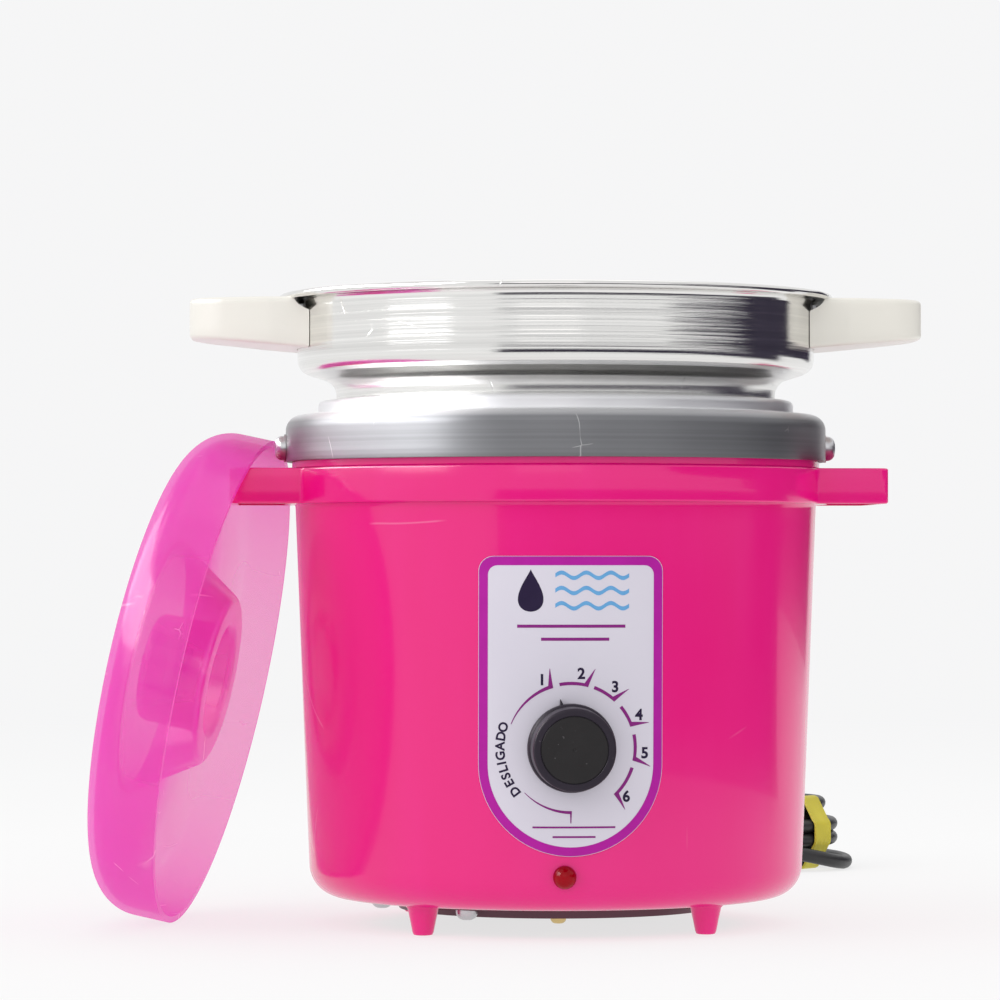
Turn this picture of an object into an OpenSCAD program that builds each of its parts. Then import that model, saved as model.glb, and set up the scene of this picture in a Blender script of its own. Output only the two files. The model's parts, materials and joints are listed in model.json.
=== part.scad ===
// Wax warmer pot: a pink plastic housing with a heated well, a lift-out pan with two handles,
// a lid that leans on the housing, a thermostat knob, a lamp and a mains cord.
// Millimetres. The origin is on the floor under the pot's own axis, and the knob faces -Y.

/* [Housing] */
// Outer radius just under the band at the top
housing_top_r = 74; // [72:0.5:76]
// Outer radius just above the rounded bottom edge
housing_foot_r = 70; // [69:0.5:71]
// Height of the housing's bottom edge above the floor
housing_z = 8; // [8:0.5:9]
// Height of the band's lower edge
band_z = 119; // [118.5:0.5:119.5]
// Height of the band
band_h = 10; // [9.5:0.5:10.5]
// Outer radius of the band
band_r = 76; // [75.8:0.1:76.4]
// Wall thickness of the moulded plastic
wall = 2.2; // [1.8:0.1:2.4]
// Distance from the axis to the end of a carrying lug
lug_reach = 92.5; // [90:0.5:93]
// Width of a carrying lug
lug_w = 48; // [44:1:50]

/* [Bottom] */
// Radius of the tray in the bottom cover
tray_r = 45.5; // [44:0.5:46]
// Distance from the axis to a foot, sideways
foot_x = 39; // [38:0.5:40]
// Distance from the axis to a foot, front to back
foot_y = 42; // [41:0.5:43]
// Radius of a foot where it meets the housing
foot_top_r = 4.35; // [4:0.05:4.5]
// Radius of a foot on the floor
foot_floor_r = 2.95; // [2.5:0.05:3.2]

/* [Heating well] */
// Inside radius of the well
well_r = 63.5; // [63.3:0.1:63.8]
// Height of the well's floor
well_floor_z = 92; // [90:1:96]
// Thickness of the spun aluminium
well_t = 1.2; // [1:0.1:1.2]
// Outer radius of the collar's skirt
collar_r = 76.8; // [76.6:0.1:77.2]
// Height of the shelf on top of the collar
collar_top_z = 144.3; // [144:0.1:144.6]
// Height of the bead around the well's mouth
bead_top_z = 148.3; // [148:0.1:148.6]

/* [Pan] */
// Radius of the pan's wide band
pan_r = 73.5; // [73:0.1:74]
// Radius of the pan's neck
neck_r = 62.4; // [62:0.1:62.6]
// Height of the pan's rim
rim_z = 178.5; // [178:0.1:179]
// Outer radius of the rim
rim_r = 78.7; // [78.4:0.1:79]
// Thickness of the pan's metal
pan_t = 0.9; // [0.8:0.1:1]

/* [Pan handles] */
// Distance from the axis to the end of a handle
handle_reach = 104; // [100:1:106]
// Width of a handle at the pan
handle_w = 44; // [42:1:46]
// Height of a handle's top face
handle_top_z = 177; // [176.8:0.1:177.2]

/* [Lid] */
// Outer radius at the lid's open rim
lid_r = 70; // [69.5:0.1:70]
// Depth of the lid
lid_h = 22; // [21:0.5:22]
// Wall thickness of the lid
lid_t = 1.8; // [1.6:0.1:1.8]
// How far the lid leans back from upright, in degrees
lid_lean = 12; // [11.9:0.1:12]
// How far the lid is turned about the upright, in degrees
lid_turn = 10; // [9.8:0.1:10.2]

/* [Knob and dial] */
// Height of the knob's axis
knob_z = 52.6; // [52:0.1:53]
// Radius of the knob's skirt
knob_r = 12; // [11.5:0.1:12.2]
// How far the knob stands out from its back face
knob_h = 14; // [12:0.5:15]
// Where the knob points at rest, in degrees clockwise from the top
knob_points = -13; // [-105:1:135]
// Width of the label
label_w = 49.8; // [48:0.2:50]
// Height of the label's lower end
label_z = 23.3; // [23:0.1:24]
// Height of the label
label_h = 81; // [79:0.5:81]

/* [Lamp] */
// Height of the lamp's axis
lamp_z = 17.7; // [17.7:0.1:18]
// How far the lamp sits to the left of the knob
lamp_x = -1.7; // [-2:0.1:0]
// Radius of the lamp's lens
lamp_r = 3.2; // [3.1:0.1:3.3]

/* [Cord] */
// Diameter of the cord
cord_d = 4.6; // [4.6]
// Height at which the cord leaves the housing
cord_exit_z = 22; // [22]
// Mean radius of the coil's inner turns
coil_r = 24; // [24]

/* [Hidden] */

$fn = 96;
gap = 0.05;
overcut = 1;
hot_pink = [0.90, 0.10, 0.45];
bright_metal = [0.82, 0.82, 0.84];
steel = [0.62, 0.62, 0.64];
dark = [0.10, 0.10, 0.11];

housing_taper = (housing_top_r - housing_foot_r) / (band_z - 1 - (housing_z + 8));
bottom_edge_r = 9;
flange_r = 44;
flange_t = 2.2;
neck_top_z = 139;
neck_out_r = collar_r - well_t - 0.6;
cover_t = 1;
cover_flange_z = housing_z - cover_t;
cover_flange_r = 53;
tray_z = 4.6;
cover_screw_at = 49.4;
cover_screw_angles = [62, 176, 237];
collar_skirt_z = 131;
collar_screw_z = 135;
collar_washer_t = 0.5;
bead_r = 67.6;
well_corner_r = 6;
well_out_r = well_r + well_t;
well_under_z = well_floor_z - well_t;
heater_r = well_out_r + 0.1;
heater_t = 1.5;
heater_z = 97;
heater_h = 20;
band_screw_y = heater_r + 3.8;
shield_z = 80;
pan_floor_z = well_floor_z + 0.3;
pan_foot_r = 58;
cone_top_z = 160.1;
rim_edge_r = 1;
handle_under_z = 165.7;
handle_root_z = 163;
handle_corner_r = 14;
tang_z = 168.6;
tang_t = 1.4;
bracket_t = 1;
rivet_z = 167.2;
handle_screw_x = 90;
handle_screw_z = 166.9;
lid_edge_r = 12;
crater_r = 35.5;
crater_ring_r = 23;
crater_hub_r = 15.6;
lid_centre = [-94.3, 4, lid_r * cos(lid_lean) + 0.05];
label_t = 0.35;
pad_y = -65.4;
knob_back_y = -(housing_at(knob_z + knob_r) + label_t + 0.45);
shaft_r = 3;
exit_y = 104;
cord_hole_r = 4.8;
turn_step = cord_d;
coil_z = 0.8;
inner_turns = 5;
coil_h = inner_turns * turn_step;
coil_centre = [79, 237];
coil_out_r = coil_r + 0.866 * cord_d + cord_d / 2;
coil_in_r = coil_r - cord_d / 2;
tie_angle = -41;
plug_end = [86, 282, 7];
pin_r = 2;
pin_l = 19;
pin_pitch = 19;

// The cord's routes, point by point.
lead_route = [[0, 104, 22], [0, 112, 21.6], [0, 120, 19.8], [0.5, 129, 15.6], [1.5, 138, 10.2],
  [3, 147, 5.6], [4.5, 156, 3.1], [7, 165.5, 2.4], [10.5, 175, 2.4], [15.5, 184, 2.4], [22, 192.5, 2.4],
  [30, 200, 2.4], [39.5, 206, 2.4], [50, 210.2, 2.5], [60, 212.4, 2.7], [70, 213, 3]];
tail_route = [[79, 209, 8.5], [85.5, 208.2, 7.3], [92.3, 207.9, 6.1], [99.6, 209.6, 4.6], [105.4, 214, 3.2],
  [109.2, 220.4, 2.4], [111, 228, 2.4], [111, 236.5, 2.4], [109.8, 245, 2.4], [107.6, 253.5, 2.4],
  [104.4, 262, 2.6], [99.8, 270.3, 3.6], [94.8, 277, 5.6], [90.4, 281, 6.8], [86, 282, 7]];

// Outer radius of the tapered housing at a height.
function housing_at(z) = housing_foot_r + housing_taper * (z - housing_z - 8);

// Points of an arc in a flat outline.
function arc_points(centre, r, from, to, steps = 6) =
  [for (i = [0:steps]) let (a = from + (to - from) * i / steps) centre + r * [cos(a), sin(a)]];
function unit(v) = v / norm(v);
function left_of(v) = [-v[1], v[0]];
function reversed(list) = [for (i = [len(list) - 1:-1:0]) list[i]];

// A path moved sideways to its left, with mitred corners.
function beside(path, t) = [for (i = [0:len(path) - 1]) let (
    before = unit(i == 0 ? path[1] - path[0] : path[i] - path[i - 1]),
    after = i == len(path) - 1 ? before : unit(path[i + 1] - path[i]),
    mitre = unit(left_of(before) + left_of(after)))
  path[i] + mitre * t / (mitre * left_of(before))];
// The closed outline of a sheet of thickness t that has the path on one face.
function sheet(path, t) = concat(path, reversed(beside(path, t)));

// A round bar from y0 to y1 along Y, at a place in X and Z.
module bar_y(x, z, y0, y1, r0, r1) {
  translate([x, y0, z]) rotate([-90, 0, 0]) cylinder(h = y1 - y0, r1 = r0, r2 = r1);
}
// A round bar from x0 to x1 along X, at a place in Y and Z.
module bar_x(y, z, x0, x1, r0, r1) {
  translate([x0, y, z]) rotate([0, 90, 0]) cylinder(h = x1 - x0, r1 = r0, r2 = r1);
}

// One ring of points around a route's point, square to its direction.
function ring_at(p, along, r, sides, upright) = let (
    side = unit(cross(along, upright)),
    top = cross(side, along))
  [for (k = [0:sides - 1]) p + r * (cos(360 * k / sides) * side + sin(360 * k / sides) * top)];
function rings(route, r, sides, upright) = [for (i = [0:len(route) - 1])
  each ring_at(route[i], unit(route[min(i + 1, len(route) - 1)] - route[max(i - 1, 0)]), r, sides, upright)];
function ring_faces(count, sides) = [for (i = [0:count - 2], k = [0:sides - 1])
  let (a = i * sides + k, b = i * sides + (k + 1) % sides)
  each [[a, b, b + sides], [a, b + sides, a + sides]]];
// A tube swept along a route.
module tube(route, r, sides = 8, upright = [0, 0, 1]) {
  last = (len(route) - 1) * sides;
  polyhedron(
    points = rings(route, r, sides, upright),
    faces = concat(
      [[for (k = [sides - 1:-1:0]) k]],
      ring_faces(len(route), sides),
      [[for (k = [0:sides - 1]) last + k]]));
}

// The moulded shell: rounded bottom edge, tapered side, band, and the neck inside the collar.
module housing_outline() {
  edge_c = [housing_foot_r - bottom_edge_r, housing_z + bottom_edge_r];
  polygon(concat(
    [[0, housing_z]],
    arc_points(edge_c, bottom_edge_r, -90, 0),
    [[housing_top_r, band_z - 1], [band_r - 0.4, band_z], [band_r, band_z + 0.6],
      [band_r, band_z + band_h - 1.4], [band_r - 0.5, band_z + band_h - 0.4],
      [neck_out_r + 0.3, band_z + band_h], [neck_out_r, band_z + band_h + 0.3],
      [neck_out_r, neck_top_z], [0, neck_top_z]]));
}
module housing_hollow() {
  edge_c = [housing_foot_r - bottom_edge_r, housing_z + bottom_edge_r];
  polygon(concat(
    [[0, housing_z + flange_t]],
    arc_points(edge_c, bottom_edge_r - wall, -90, 0),
    [[housing_top_r - wall, band_z - 1], [neck_out_r - 2, band_z + 2],
      [neck_out_r - 2, neck_top_z + overcut], [0, neck_top_z + overcut]]));
}
// Plan of both carrying lugs, as one long bar with rounded ends.
module lug_plan(reach, half_w, corner_r) {
  polygon(concat(
    arc_points([reach - corner_r, -half_w + corner_r], corner_r, -90, 0),
    arc_points([reach - corner_r, half_w - corner_r], corner_r, 0, 90),
    arc_points([-reach + corner_r, half_w - corner_r], corner_r, 90, 180),
    arc_points([-reach + corner_r, -half_w + corner_r], corner_r, 180, 270)));
}
module housing() {
  color(hot_pink) difference() {
    union() {
      difference() {
        union() {
          rotate_extrude() housing_outline();
          translate([0, 0, band_z]) linear_extrude(band_h) lug_plan(lug_reach, lug_w / 2, 3);
        }
        rotate_extrude() housing_hollow();
        difference() {
          translate([0, 0, band_z - overcut]) linear_extrude(band_h - wall + overcut)
            lug_plan(lug_reach - wall, lug_w / 2 - wall, 1.5);
          cylinder(h = 200, r = band_r + 1.2);
        }
        translate([0, 0, housing_z - overcut]) cylinder(h = flange_t + 2 * overcut, r = flange_r);
      }
      for (a = cover_screw_angles) rotate([0, 0, a])
        translate([cover_screw_at, 0, housing_z]) cylinder(h = 11, r = 3.6);
      intersection() {
        translate([-21, -80, knob_z - 12]) cube([42, 80 + pad_y, 24]);
        translate([0, 0, knob_z - 12])
          cylinder(h = 24, r1 = housing_at(knob_z - 12) - wall / 2, r2 = housing_at(knob_z + 12) - wall / 2);
      }
    }
    for (a = cover_screw_angles) rotate([0, 0, a])
      translate([cover_screw_at, 0, housing_z - overcut]) cylinder(h = 10, r = 1.5);
    for (sx = [-1, 1], sy = [-1, 1])
      translate([sx * foot_x, sy * foot_y, housing_z - overcut]) cylinder(h = 8, r = 2);
    bar_y(0, knob_z, -90, -60, 5, 5);
    for (sx = [-1, 1]) {
      bar_y(sx * 14, knob_z, -90, -60, 1.75, 1.75);
      bar_y(sx * 14, knob_z, -90, -69.05, 3.6, 3.6);
      bar_y(sx * 14, knob_z, -69.05, -66.95, 3.6, 1.75);
    }
    bar_y(lamp_x, lamp_z, -90, -50, 2.9, 2.9);
    bar_y(0, cord_exit_z, 50, 90, cord_hole_r, cord_hole_r);
    for (side = [0, 180]) rotate([0, 0, side])
      bar_x(0, collar_screw_z, 60, 90, 1.6, 1.6);
  }
}

// Feet with a spigot that is pressed into the housing.
module foot(sx, sy) {
  color(hot_pink) translate([sx * foot_x, sy * foot_y, 0]) {
    cylinder(h = housing_z, r1 = foot_floor_r, r2 = foot_top_r);
    translate([0, 0, housing_z]) cylinder(h = 5, r = 1.95);
  }
}
module foot_front_left() { foot(-1, -1); }
module foot_front_right() { foot(1, -1); }
module foot_rear_left() { foot(-1, 1); }
module foot_rear_right() { foot(1, 1); }

// A shallow tray with a flange that closes the housing from below.
module bottom_cover() {
  color(dark) difference() {
    union() {
      translate([0, 0, cover_flange_z]) cylinder(h = cover_t, r = cover_flange_r);
      translate([0, 0, tray_z]) cylinder(h = housing_z - tray_z, r1 = tray_r - 1, r2 = tray_r);
    }
    translate([0, 0, tray_z + cover_t]) cylinder(h = housing_z, r1 = tray_r - 2, r2 = tray_r - 1);
    for (a = cover_screw_angles) rotate([0, 0, a])
      translate([cover_screw_at, 0, 0]) cylinder(h = 20, r = 1.8);
    translate([-1.5, -38, 0]) cylinder(h = 20, r = 1.6);
    for (side = [-1, 1], k = [0:4])
      translate([side * (12 + 4 * k) - 1, -4, 0]) cube([2, 22, 20]);
  }
}
// A pan-head screw that points up, its head's underside at z = 0.
module pan_screw(head_r, head_h, shank_r, shank_l) {
  cylinder(h = shank_l, r = shank_r);
  rotate_extrude() polygon(concat([[0, 0], [0, -head_h]],
    arc_points([head_r - head_h * 0.8, -head_h * 0.2], head_h * 0.8, -90, 0), [[head_r, 0]]));
}
module bottom_cover_screws() {
  color(steel) for (a = cover_screw_angles) rotate([0, 0, a])
    translate([cover_screw_at, 0, cover_flange_z]) pan_screw(3.1, 2.9, 1.45, 9);
}
// An earth terminal: a small screw through the tray with a nut inside.
module earth_stud() {
  color("gold") translate([-1.5, -38, tray_z]) {
    pan_screw(2.2, 1.8, 1.5, 8);
    translate([0, 0, cover_t]) cylinder(h = 2.2, r = 2.8, $fn = 6);
  }
}
module terminal_block() {
  color("ivory") difference() {
    translate([-18, 24, tray_z + cover_t]) cube([36, 14, 12]);
    for (x = [-12, 0, 12]) {
      bar_y(x, tray_z + cover_t + 5, 20, 42, 1.7, 1.7);
      translate([x, 31, tray_z + cover_t + 5]) cylinder(h = 10, r = 1.9);
    }
  }
}
module cord_clamp() {
  color(dark) difference() {
    translate([-7, 58, cord_exit_z - 7]) cube([14, 7, 13]);
    bar_y(0, cord_exit_z, 50, 70, 2.4, 2.4);
  }
}
module wiring() {
  color("white") {
    tube([[-12, 24, 10.6], [-13, 16, 13], [-14, 4, 22], [-14, -12, 36], [-13, -28, 44], [-12, -41, 46], [-12, -46, 46]],
      0.9, 8, [1, 0, 0]);
    tube([[12, 24, 10.6], [13, 14, 14], [13, 2, 26], [13, -14, 40], [12, -30, 46], [12, -41, 46], [12, -46, 46]],
      0.9, 8, [1, 0, 0]);
    tube([[0, 24, 10.6], [0, 14, 11.5], [-1, -4, 13], [-1.5, -22, 15.5], [-1.7, -36, 17.5], [-1.7, -46, 17.7]],
      0.9, 8, [1, 0, 0]);
    tube([[4, 50, 22], [5, 46, 22], [9, 42, 20], [12, 40, 15], [12, 39, 11.5], [12, 38, 10.6]], 0.9, 8, [1, 0, 0]);
  }
}

// The well, its bead and the stepped collar are spun from one sheet: the path is the face one sees.
module heating_well() {
  corner = [well_r - well_corner_r, well_floor_z + well_corner_r];
  bead_c = bead_top_z - 1.6;
  color(bright_metal) difference() {
    rotate_extrude() polygon(sheet(concat(
      [[0, well_floor_z]],
      arc_points(corner, well_corner_r, -90, 0),
      reversed(arc_points([well_r + 1.7, bead_c], 1.7, 90, 180)),
      reversed(arc_points([bead_r - 1.6, bead_c], 1.6, 0, 90)),
      [[bead_r, collar_top_z + 0.8], [bead_r + 0.6, collar_top_z + 0.3]],
      reversed(arc_points([collar_r - 4.4, collar_top_z - 4.4], 4.4, 0, 90)),
      [[collar_r, collar_skirt_z]]), -well_t));
    for (side = [0, 180]) rotate([0, 0, side])
      bar_x(0, collar_screw_z, 70, 90, 1.9, 1.9);
  }
}
// Collar screws, in the fixing hole at each side.
module collar_screw() {
  translate([collar_r + collar_washer_t, 0, collar_screw_z]) rotate([0, -90, 0])
    pan_screw(3.5, 2.6, 1.55, 6);
}
module collar_washer() {
  color(steel) difference() {
    bar_x(0, collar_screw_z, collar_r, collar_r + collar_washer_t - 0.02, 4, 4);
    bar_x(0, collar_screw_z, 70, 90, 1.7, 1.7);
  }
}
module collar_screw_left() { color(steel) mirror([1, 0, 0]) collar_screw(); }
module collar_screw_right() { color(steel) collar_screw(); }
module collar_washer_left() { mirror([1, 0, 0]) collar_washer(); }
module collar_washer_right() { collar_washer(); }

// A flat ring round the well, open at the back.
module split_ring(inner, thick, z, h, opening) {
  difference() {
    translate([0, 0, z]) cylinder(h = h, r = inner + thick);
    translate([0, 0, z - overcut]) cylinder(h = h + 2 * overcut, r = inner);
    translate([-opening / 2, 0, z - overcut]) cube([opening, 90, h + 2 * overcut]);
  }
}
module heater_band() {
  color("peru") {
    split_ring(heater_r, heater_t, heater_z, heater_h, 8);
    for (side = [-1, 1]) difference() {
      translate([side * 4.8 - 0.8, heater_r, heater_z + 5]) cube([1.6, 5.8, 10]);
      bar_x(band_screw_y, heater_z + 10, -10, 10, 1.2, 1.2);
    }
  }
}
module heater_band_screw() {
  color(steel) {
    bar_x(band_screw_y, heater_z + 10, -7.5, 5.66, 1.15, 1.15);
    bar_x(band_screw_y, heater_z + 10, 5.65, 7.2, 2.2, 2.2);
  }
}
module insulation_blanket() {
  color("wheat") split_ring(heater_r + heater_t + 0.1, 3.2, heater_z - 4, heater_h + 8, 20);
}
module heat_shield() {
  color(bright_metal) difference() {
    union() {
      translate([0, 0, shield_z]) cylinder(h = 0.8, r = 52);
      translate([0, 0, shield_z]) cylinder(h = 5, r = 52);
    }
    translate([0, 0, shield_z + 0.8]) cylinder(h = 6, r = 51.2);
    translate([0, 0, shield_z - overcut]) cylinder(h = 4, r = 2.1);
    translate([8, -56, shield_z - overcut]) cube([6, 8, 10]);
  }
}
module heat_shield_nut() {
  color(steel) {
    translate([0, 0, shield_z - 6]) cylinder(h = well_under_z - shield_z + 6, r = 2);
    translate([0, 0, shield_z - 3.2]) cylinder(h = 3.2, r = 3.9, $fn = 6);
  }
}
module sensor_bulb() {
  color("orange") {
    bar_x(-32, well_under_z - 2.7, -22, 22, 2.5, 2.5);
    tube([[8, -52, 70], [9, -54, 73], [11, -54.4, 78], [11, -54.2, 84], [13, -51, 87.2], [18, -44, 88], [23.5, -36.5, 88.1],
      [23.9, -33, 88.1], [21.5, -32, 88.1]], 0.8, 8, [0.6, 0.4, 0]);
  }
}
module sensor_clip() {
  color(steel) difference() {
    translate([-4, -36.5, well_under_z - 5.9]) cube([8, 9, 5.9]);
    bar_x(-32, well_under_z - 2.7, -10, 10, 2.55, 2.55);
  }
}
module thermal_fuse() {
  color("silver") {
    bar_x(26, well_under_z - 2.1, -7, 7, 2, 2);
    bar_x(26, well_under_z - 2.1, -12, 12, 0.5, 0.5);
  }
}

module thermostat_body() {
  color("lightgray") difference() {
    union() {
      translate([-19, pad_y + gap, knob_z - 10]) cube([38, 1.3, 20]);
      translate([-16, pad_y + gap + 1.3, knob_z - 15]) cube([32, 18, 32]);
      bar_y(0, knob_z, -72.2, pad_y + 1, 4.6, 4.6);
    }
    bar_y(0, knob_z, -80, -56, shaft_r + gap, shaft_r + gap);
    for (sx = [-1, 1]) bar_y(sx * 14, knob_z, -80, -60.5, 1.4, 1.4);
  }
}
// Countersunk screws that hold the thermostat, flush under the label.
module thermostat_screws() {
  color(steel) for (sx = [-1, 1]) {
    bar_y(sx * 14, knob_z, -69, -67, 3.5, 1.65);
    bar_y(sx * 14, knob_z, -67, -61, 1.35, 1.35);
  }
}
// The turning shaft, with a flat that drives the knob.
module thermostat_shaft() {
  color(steel) difference() {
    bar_y(0, knob_z, -84, -57, shaft_r, shaft_r);
    rotate_about_knob() translate([-5, -90, knob_z + 1.6]) cube([10, 90 - 73.2, 5]);
  }
}
module rotate_about_knob() {
  translate([0, 0, knob_z]) rotate([0, knob_points, 0]) translate([0, 0, -knob_z]) children();
}
module knob() {
  front_y = knob_back_y - knob_h;
  color(dark) rotate_about_knob() difference() {
    union() {
      translate([0, knob_back_y, knob_z]) rotate([90, 0, 0]) rotate_extrude() polygon(concat(
        [[0, 0], [knob_r - 0.3, 0], [knob_r, 0.3], [knob_r - 0.2, 2.6]],
        [[knob_r - 0.9, 3.2], [knob_r - 1.2, 3.4], [knob_r - 1.7, knob_h - 1.2]],
        arc_points([knob_r - 2.9, knob_h - 1.2], 1.2, 0, 90),
        [[0, knob_h]]));
      translate([-0.7, knob_back_y - 2.2, knob_z + knob_r - 1]) cube([1.4, 2.2, 2.6]);
    }
    bar_y(0, knob_z, front_y - 1, front_y + 1.2, 8.7, 8.7);
    difference() {
      bar_y(0, knob_z, -84.2, 0, shaft_r + 0.02, shaft_r + 0.02);
      translate([-5, -90, knob_z + 1.62]) cube([10, 90 - 73.2, 5]);
    }
    bar_y(0, knob_z, knob_back_y - 1.6, 0, 5.6, 5.6);
  }
}
module knob_cap() {
  front_y = knob_back_y - knob_h;
  color(dark) translate([0, front_y + 1.2, knob_z]) rotate([90, 0, 0])
    rotate_extrude() polygon([[0, 0], [8.6, 0], [8.6, 0.7], [8.1, 1], [0, 0.7]]);
}

// The label follows the taper of the housing.
module label() {
  low = label_z;
  half = label_w / 2;
  outline = concat(
    arc_points([0, low + half], half, 180, 360, 24),
    arc_points([half - 4, low + label_h - 4], 4, 0, 90),
    arc_points([-half + 4, low + label_h - 4], 4, 90, 180));
  color("thistle") difference() {
    intersection() {
      translate([0, -60, 0]) rotate([90, 0, 0]) linear_extrude(30) polygon(outline);
      rotate_extrude() polygon([for (p = [[0, low - 1], [label_t, low - 1],
        [label_t, low + label_h + 1], [0, low + label_h + 1]]) [housing_at(p[1]) + 0.02 + p[0], p[1]]]);
    }
    bar_y(0, knob_z, -90, -60, 5.2, 5.2);
  }
}
module lamp_lens() {
  color("red") translate([lamp_x, -70.25, lamp_z]) rotate([90, 0, 0]) {
    rotate_extrude() polygon(concat([[0, 0]], arc_points([0, 0.3], lamp_r, 0, 90, 8), [[0, 0.2]]));
    translate([0, 0, -6]) cylinder(h = 6.1, r = 2.85);
  }
}
module lamp_body() {
  color("white") {
    bar_y(lamp_x, lamp_z, -64.1, -60, 4.2, 4.2);
    bar_y(lamp_x, lamp_z, -60, -46, 3, 3);
  }
}

// The pan: the path is its outer face, from the middle of the floor to the rim.
module pan() {
  cone_c = [pan_r - 4.5, cone_top_z];
  neck_c = [neck_r + 4.8, 149.8];
  flange_z = rim_z - 2;
  color(bright_metal) difference() {
    union() {
      rotate_extrude() polygon(sheet(concat(
        [[0, pan_floor_z]],
        arc_points([pan_foot_r - 6, pan_floor_z + 6], 6, -90, 0),
        reversed(arc_points(neck_c, 4.8, 105, 180)),
        arc_points(cone_c, 4.5, -75, 0),
        reversed(arc_points([pan_r + 1.6, flange_z - 1.6], 1.6, 90, 180)),
        [[rim_r - rim_edge_r, flange_z + 0.1]]), pan_t));
      translate([0, 0, rim_z - rim_edge_r]) rotate_extrude() translate([rim_r - rim_edge_r, 0])
        circle(r = rim_edge_r, $fn = 32);
    }
    for (side = [0, 180], a = [-8, 8]) rotate([0, 0, side + a])
      bar_x(0, rivet_z, 65, 80, 1.2, 1.2);
  }
}
// A handle block: its plan and its side view cross each other.
module handle_plan() {
  root_half = handle_w / 2;
  tip_half = root_half - 3;
  polygon(concat(
    [[60, root_half], [60, -root_half], [handle_reach - handle_corner_r - 6, -root_half]],
    arc_points([handle_reach - handle_corner_r, -tip_half + handle_corner_r], handle_corner_r, -80, 0),
    arc_points([handle_reach - handle_corner_r, tip_half - handle_corner_r], handle_corner_r, 0, 80),
    [[handle_reach - handle_corner_r - 6, root_half]]));
}
module handle_side() {
  polygon(concat(
    [[60, handle_root_z - 0.2], [pan_r, handle_root_z]],
    arc_points([handle_reach - 1.5, handle_under_z + 1.3], 1.5, -85, 0, 4),
    arc_points([handle_reach - 1.5, handle_top_z - 1.5], 1.5, 0, 90, 4),
    [[60, handle_top_z]]));
}
module pan_handle() {
  difference() {
    intersection() {
      translate([0, 0, handle_root_z - 5]) linear_extrude(20) handle_plan();
      translate([0, 40, 0]) rotate([90, 0, 0]) linear_extrude(80) handle_side();
    }
    cylinder(h = 300, r = pan_r + 0.15);
    difference() {
      translate([0, -15.2, 0]) cube([200, 30.4, 175.2]);
      difference() {
        cylinder(h = 300, r = 300);
        cylinder(h = 300, r = pan_r + bracket_t + 0.15);
      }
    }
    rotate_extrude() polygon(concat([[pan_r - 1, handle_top_z + 2]],
      arc_points([pan_r, handle_top_z + 1], rim_r - pan_r + 0.3, -90, 0), [[rim_r + 0.3, handle_top_z + 2]]));
    translate([70, -6.1, tang_z - 0.05]) cube([28, 12.2, tang_t + 0.1]);
    translate([handle_screw_x, 0, 150]) cylinder(h = tang_z - 150 + 5, r = 1.5);
    translate([handle_screw_x, 0, 150]) cylinder(h = handle_screw_z - 150, r = 3);
  }
}
// A curved plate against the pan, with a tang that runs out into the handle.
module handle_bracket() {
  difference() {
    union() {
      intersection() {
        difference() {
          translate([0, 0, 164.2]) cylinder(h = 11, r = pan_r + bracket_t);
          cylinder(h = 300, r = pan_r + 0.02);
        }
        translate([0, -15, 0]) cube([200, 30, 300]);
      }
      difference() {
        translate([70, -6, tang_z]) cube([27.5, 12, tang_t]);
        cylinder(h = 300, r = pan_r + 0.02);
      }
    }
    for (a = [-8, 8]) rotate([0, 0, a]) bar_x(0, rivet_z, 65, 80, 1.2, 1.2);
    translate([handle_screw_x, 0, 150]) cylinder(h = 40, r = 1.5);
  }
}
module handle_rivets() {
  for (a = [-8, 8]) rotate([0, 0, a]) {
    bar_x(0, rivet_z, pan_r - pan_t - 0.9, pan_r - pan_t - 0.07, 1.9, 2.4);
    bar_x(0, rivet_z, pan_r - pan_t - 0.1, pan_r + bracket_t, 1.15, 1.15);
  }
}
module handle_screw() {
  translate([handle_screw_x, 0, handle_screw_z]) pan_screw(2.7, 1.6, 1.4, 5.5);
}
module pan_handle_left() { color("ivory") mirror([1, 0, 0]) pan_handle(); }
module pan_handle_right() { color("ivory") pan_handle(); }
module handle_bracket_left() { color(steel) mirror([1, 0, 0]) handle_bracket(); }
module handle_bracket_right() { color(steel) handle_bracket(); }
module handle_rivets_left() { color(steel) mirror([1, 0, 0]) handle_rivets(); }
module handle_rivets_right() { color(steel) handle_rivets(); }
module handle_screw_left() { color(steel) mirror([1, 0, 0]) handle_screw(); }
module handle_screw_right() { color(steel) handle_screw(); }

// The lid in its own frame: rim at z = 0, closed face at the top, a crater with a hollow hub.
module lid_shape() {
  rotate_extrude() polygon(sheet(concat(
    [[lid_r, 0]],
    arc_points([lid_r - lid_edge_r, lid_h - lid_edge_r], lid_edge_r, 0, 90, 10),
    [[crater_r, lid_h], [crater_ring_r, 3], [crater_hub_r + 1.6, 3], [crater_hub_r + 0.6, 4]],
    arc_points([crater_hub_r - 4, lid_h - 3], 3, 0, 90, 4),
    [[0, lid_h]]), lid_t));
}
module lid() {
  color([0.92, 0.27, 0.68, 0.6]) translate(lid_centre)
    rotate([0, 0, 180 - lid_turn]) rotate([0, 90 - lid_lean, 0]) lid_shape();
}

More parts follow.
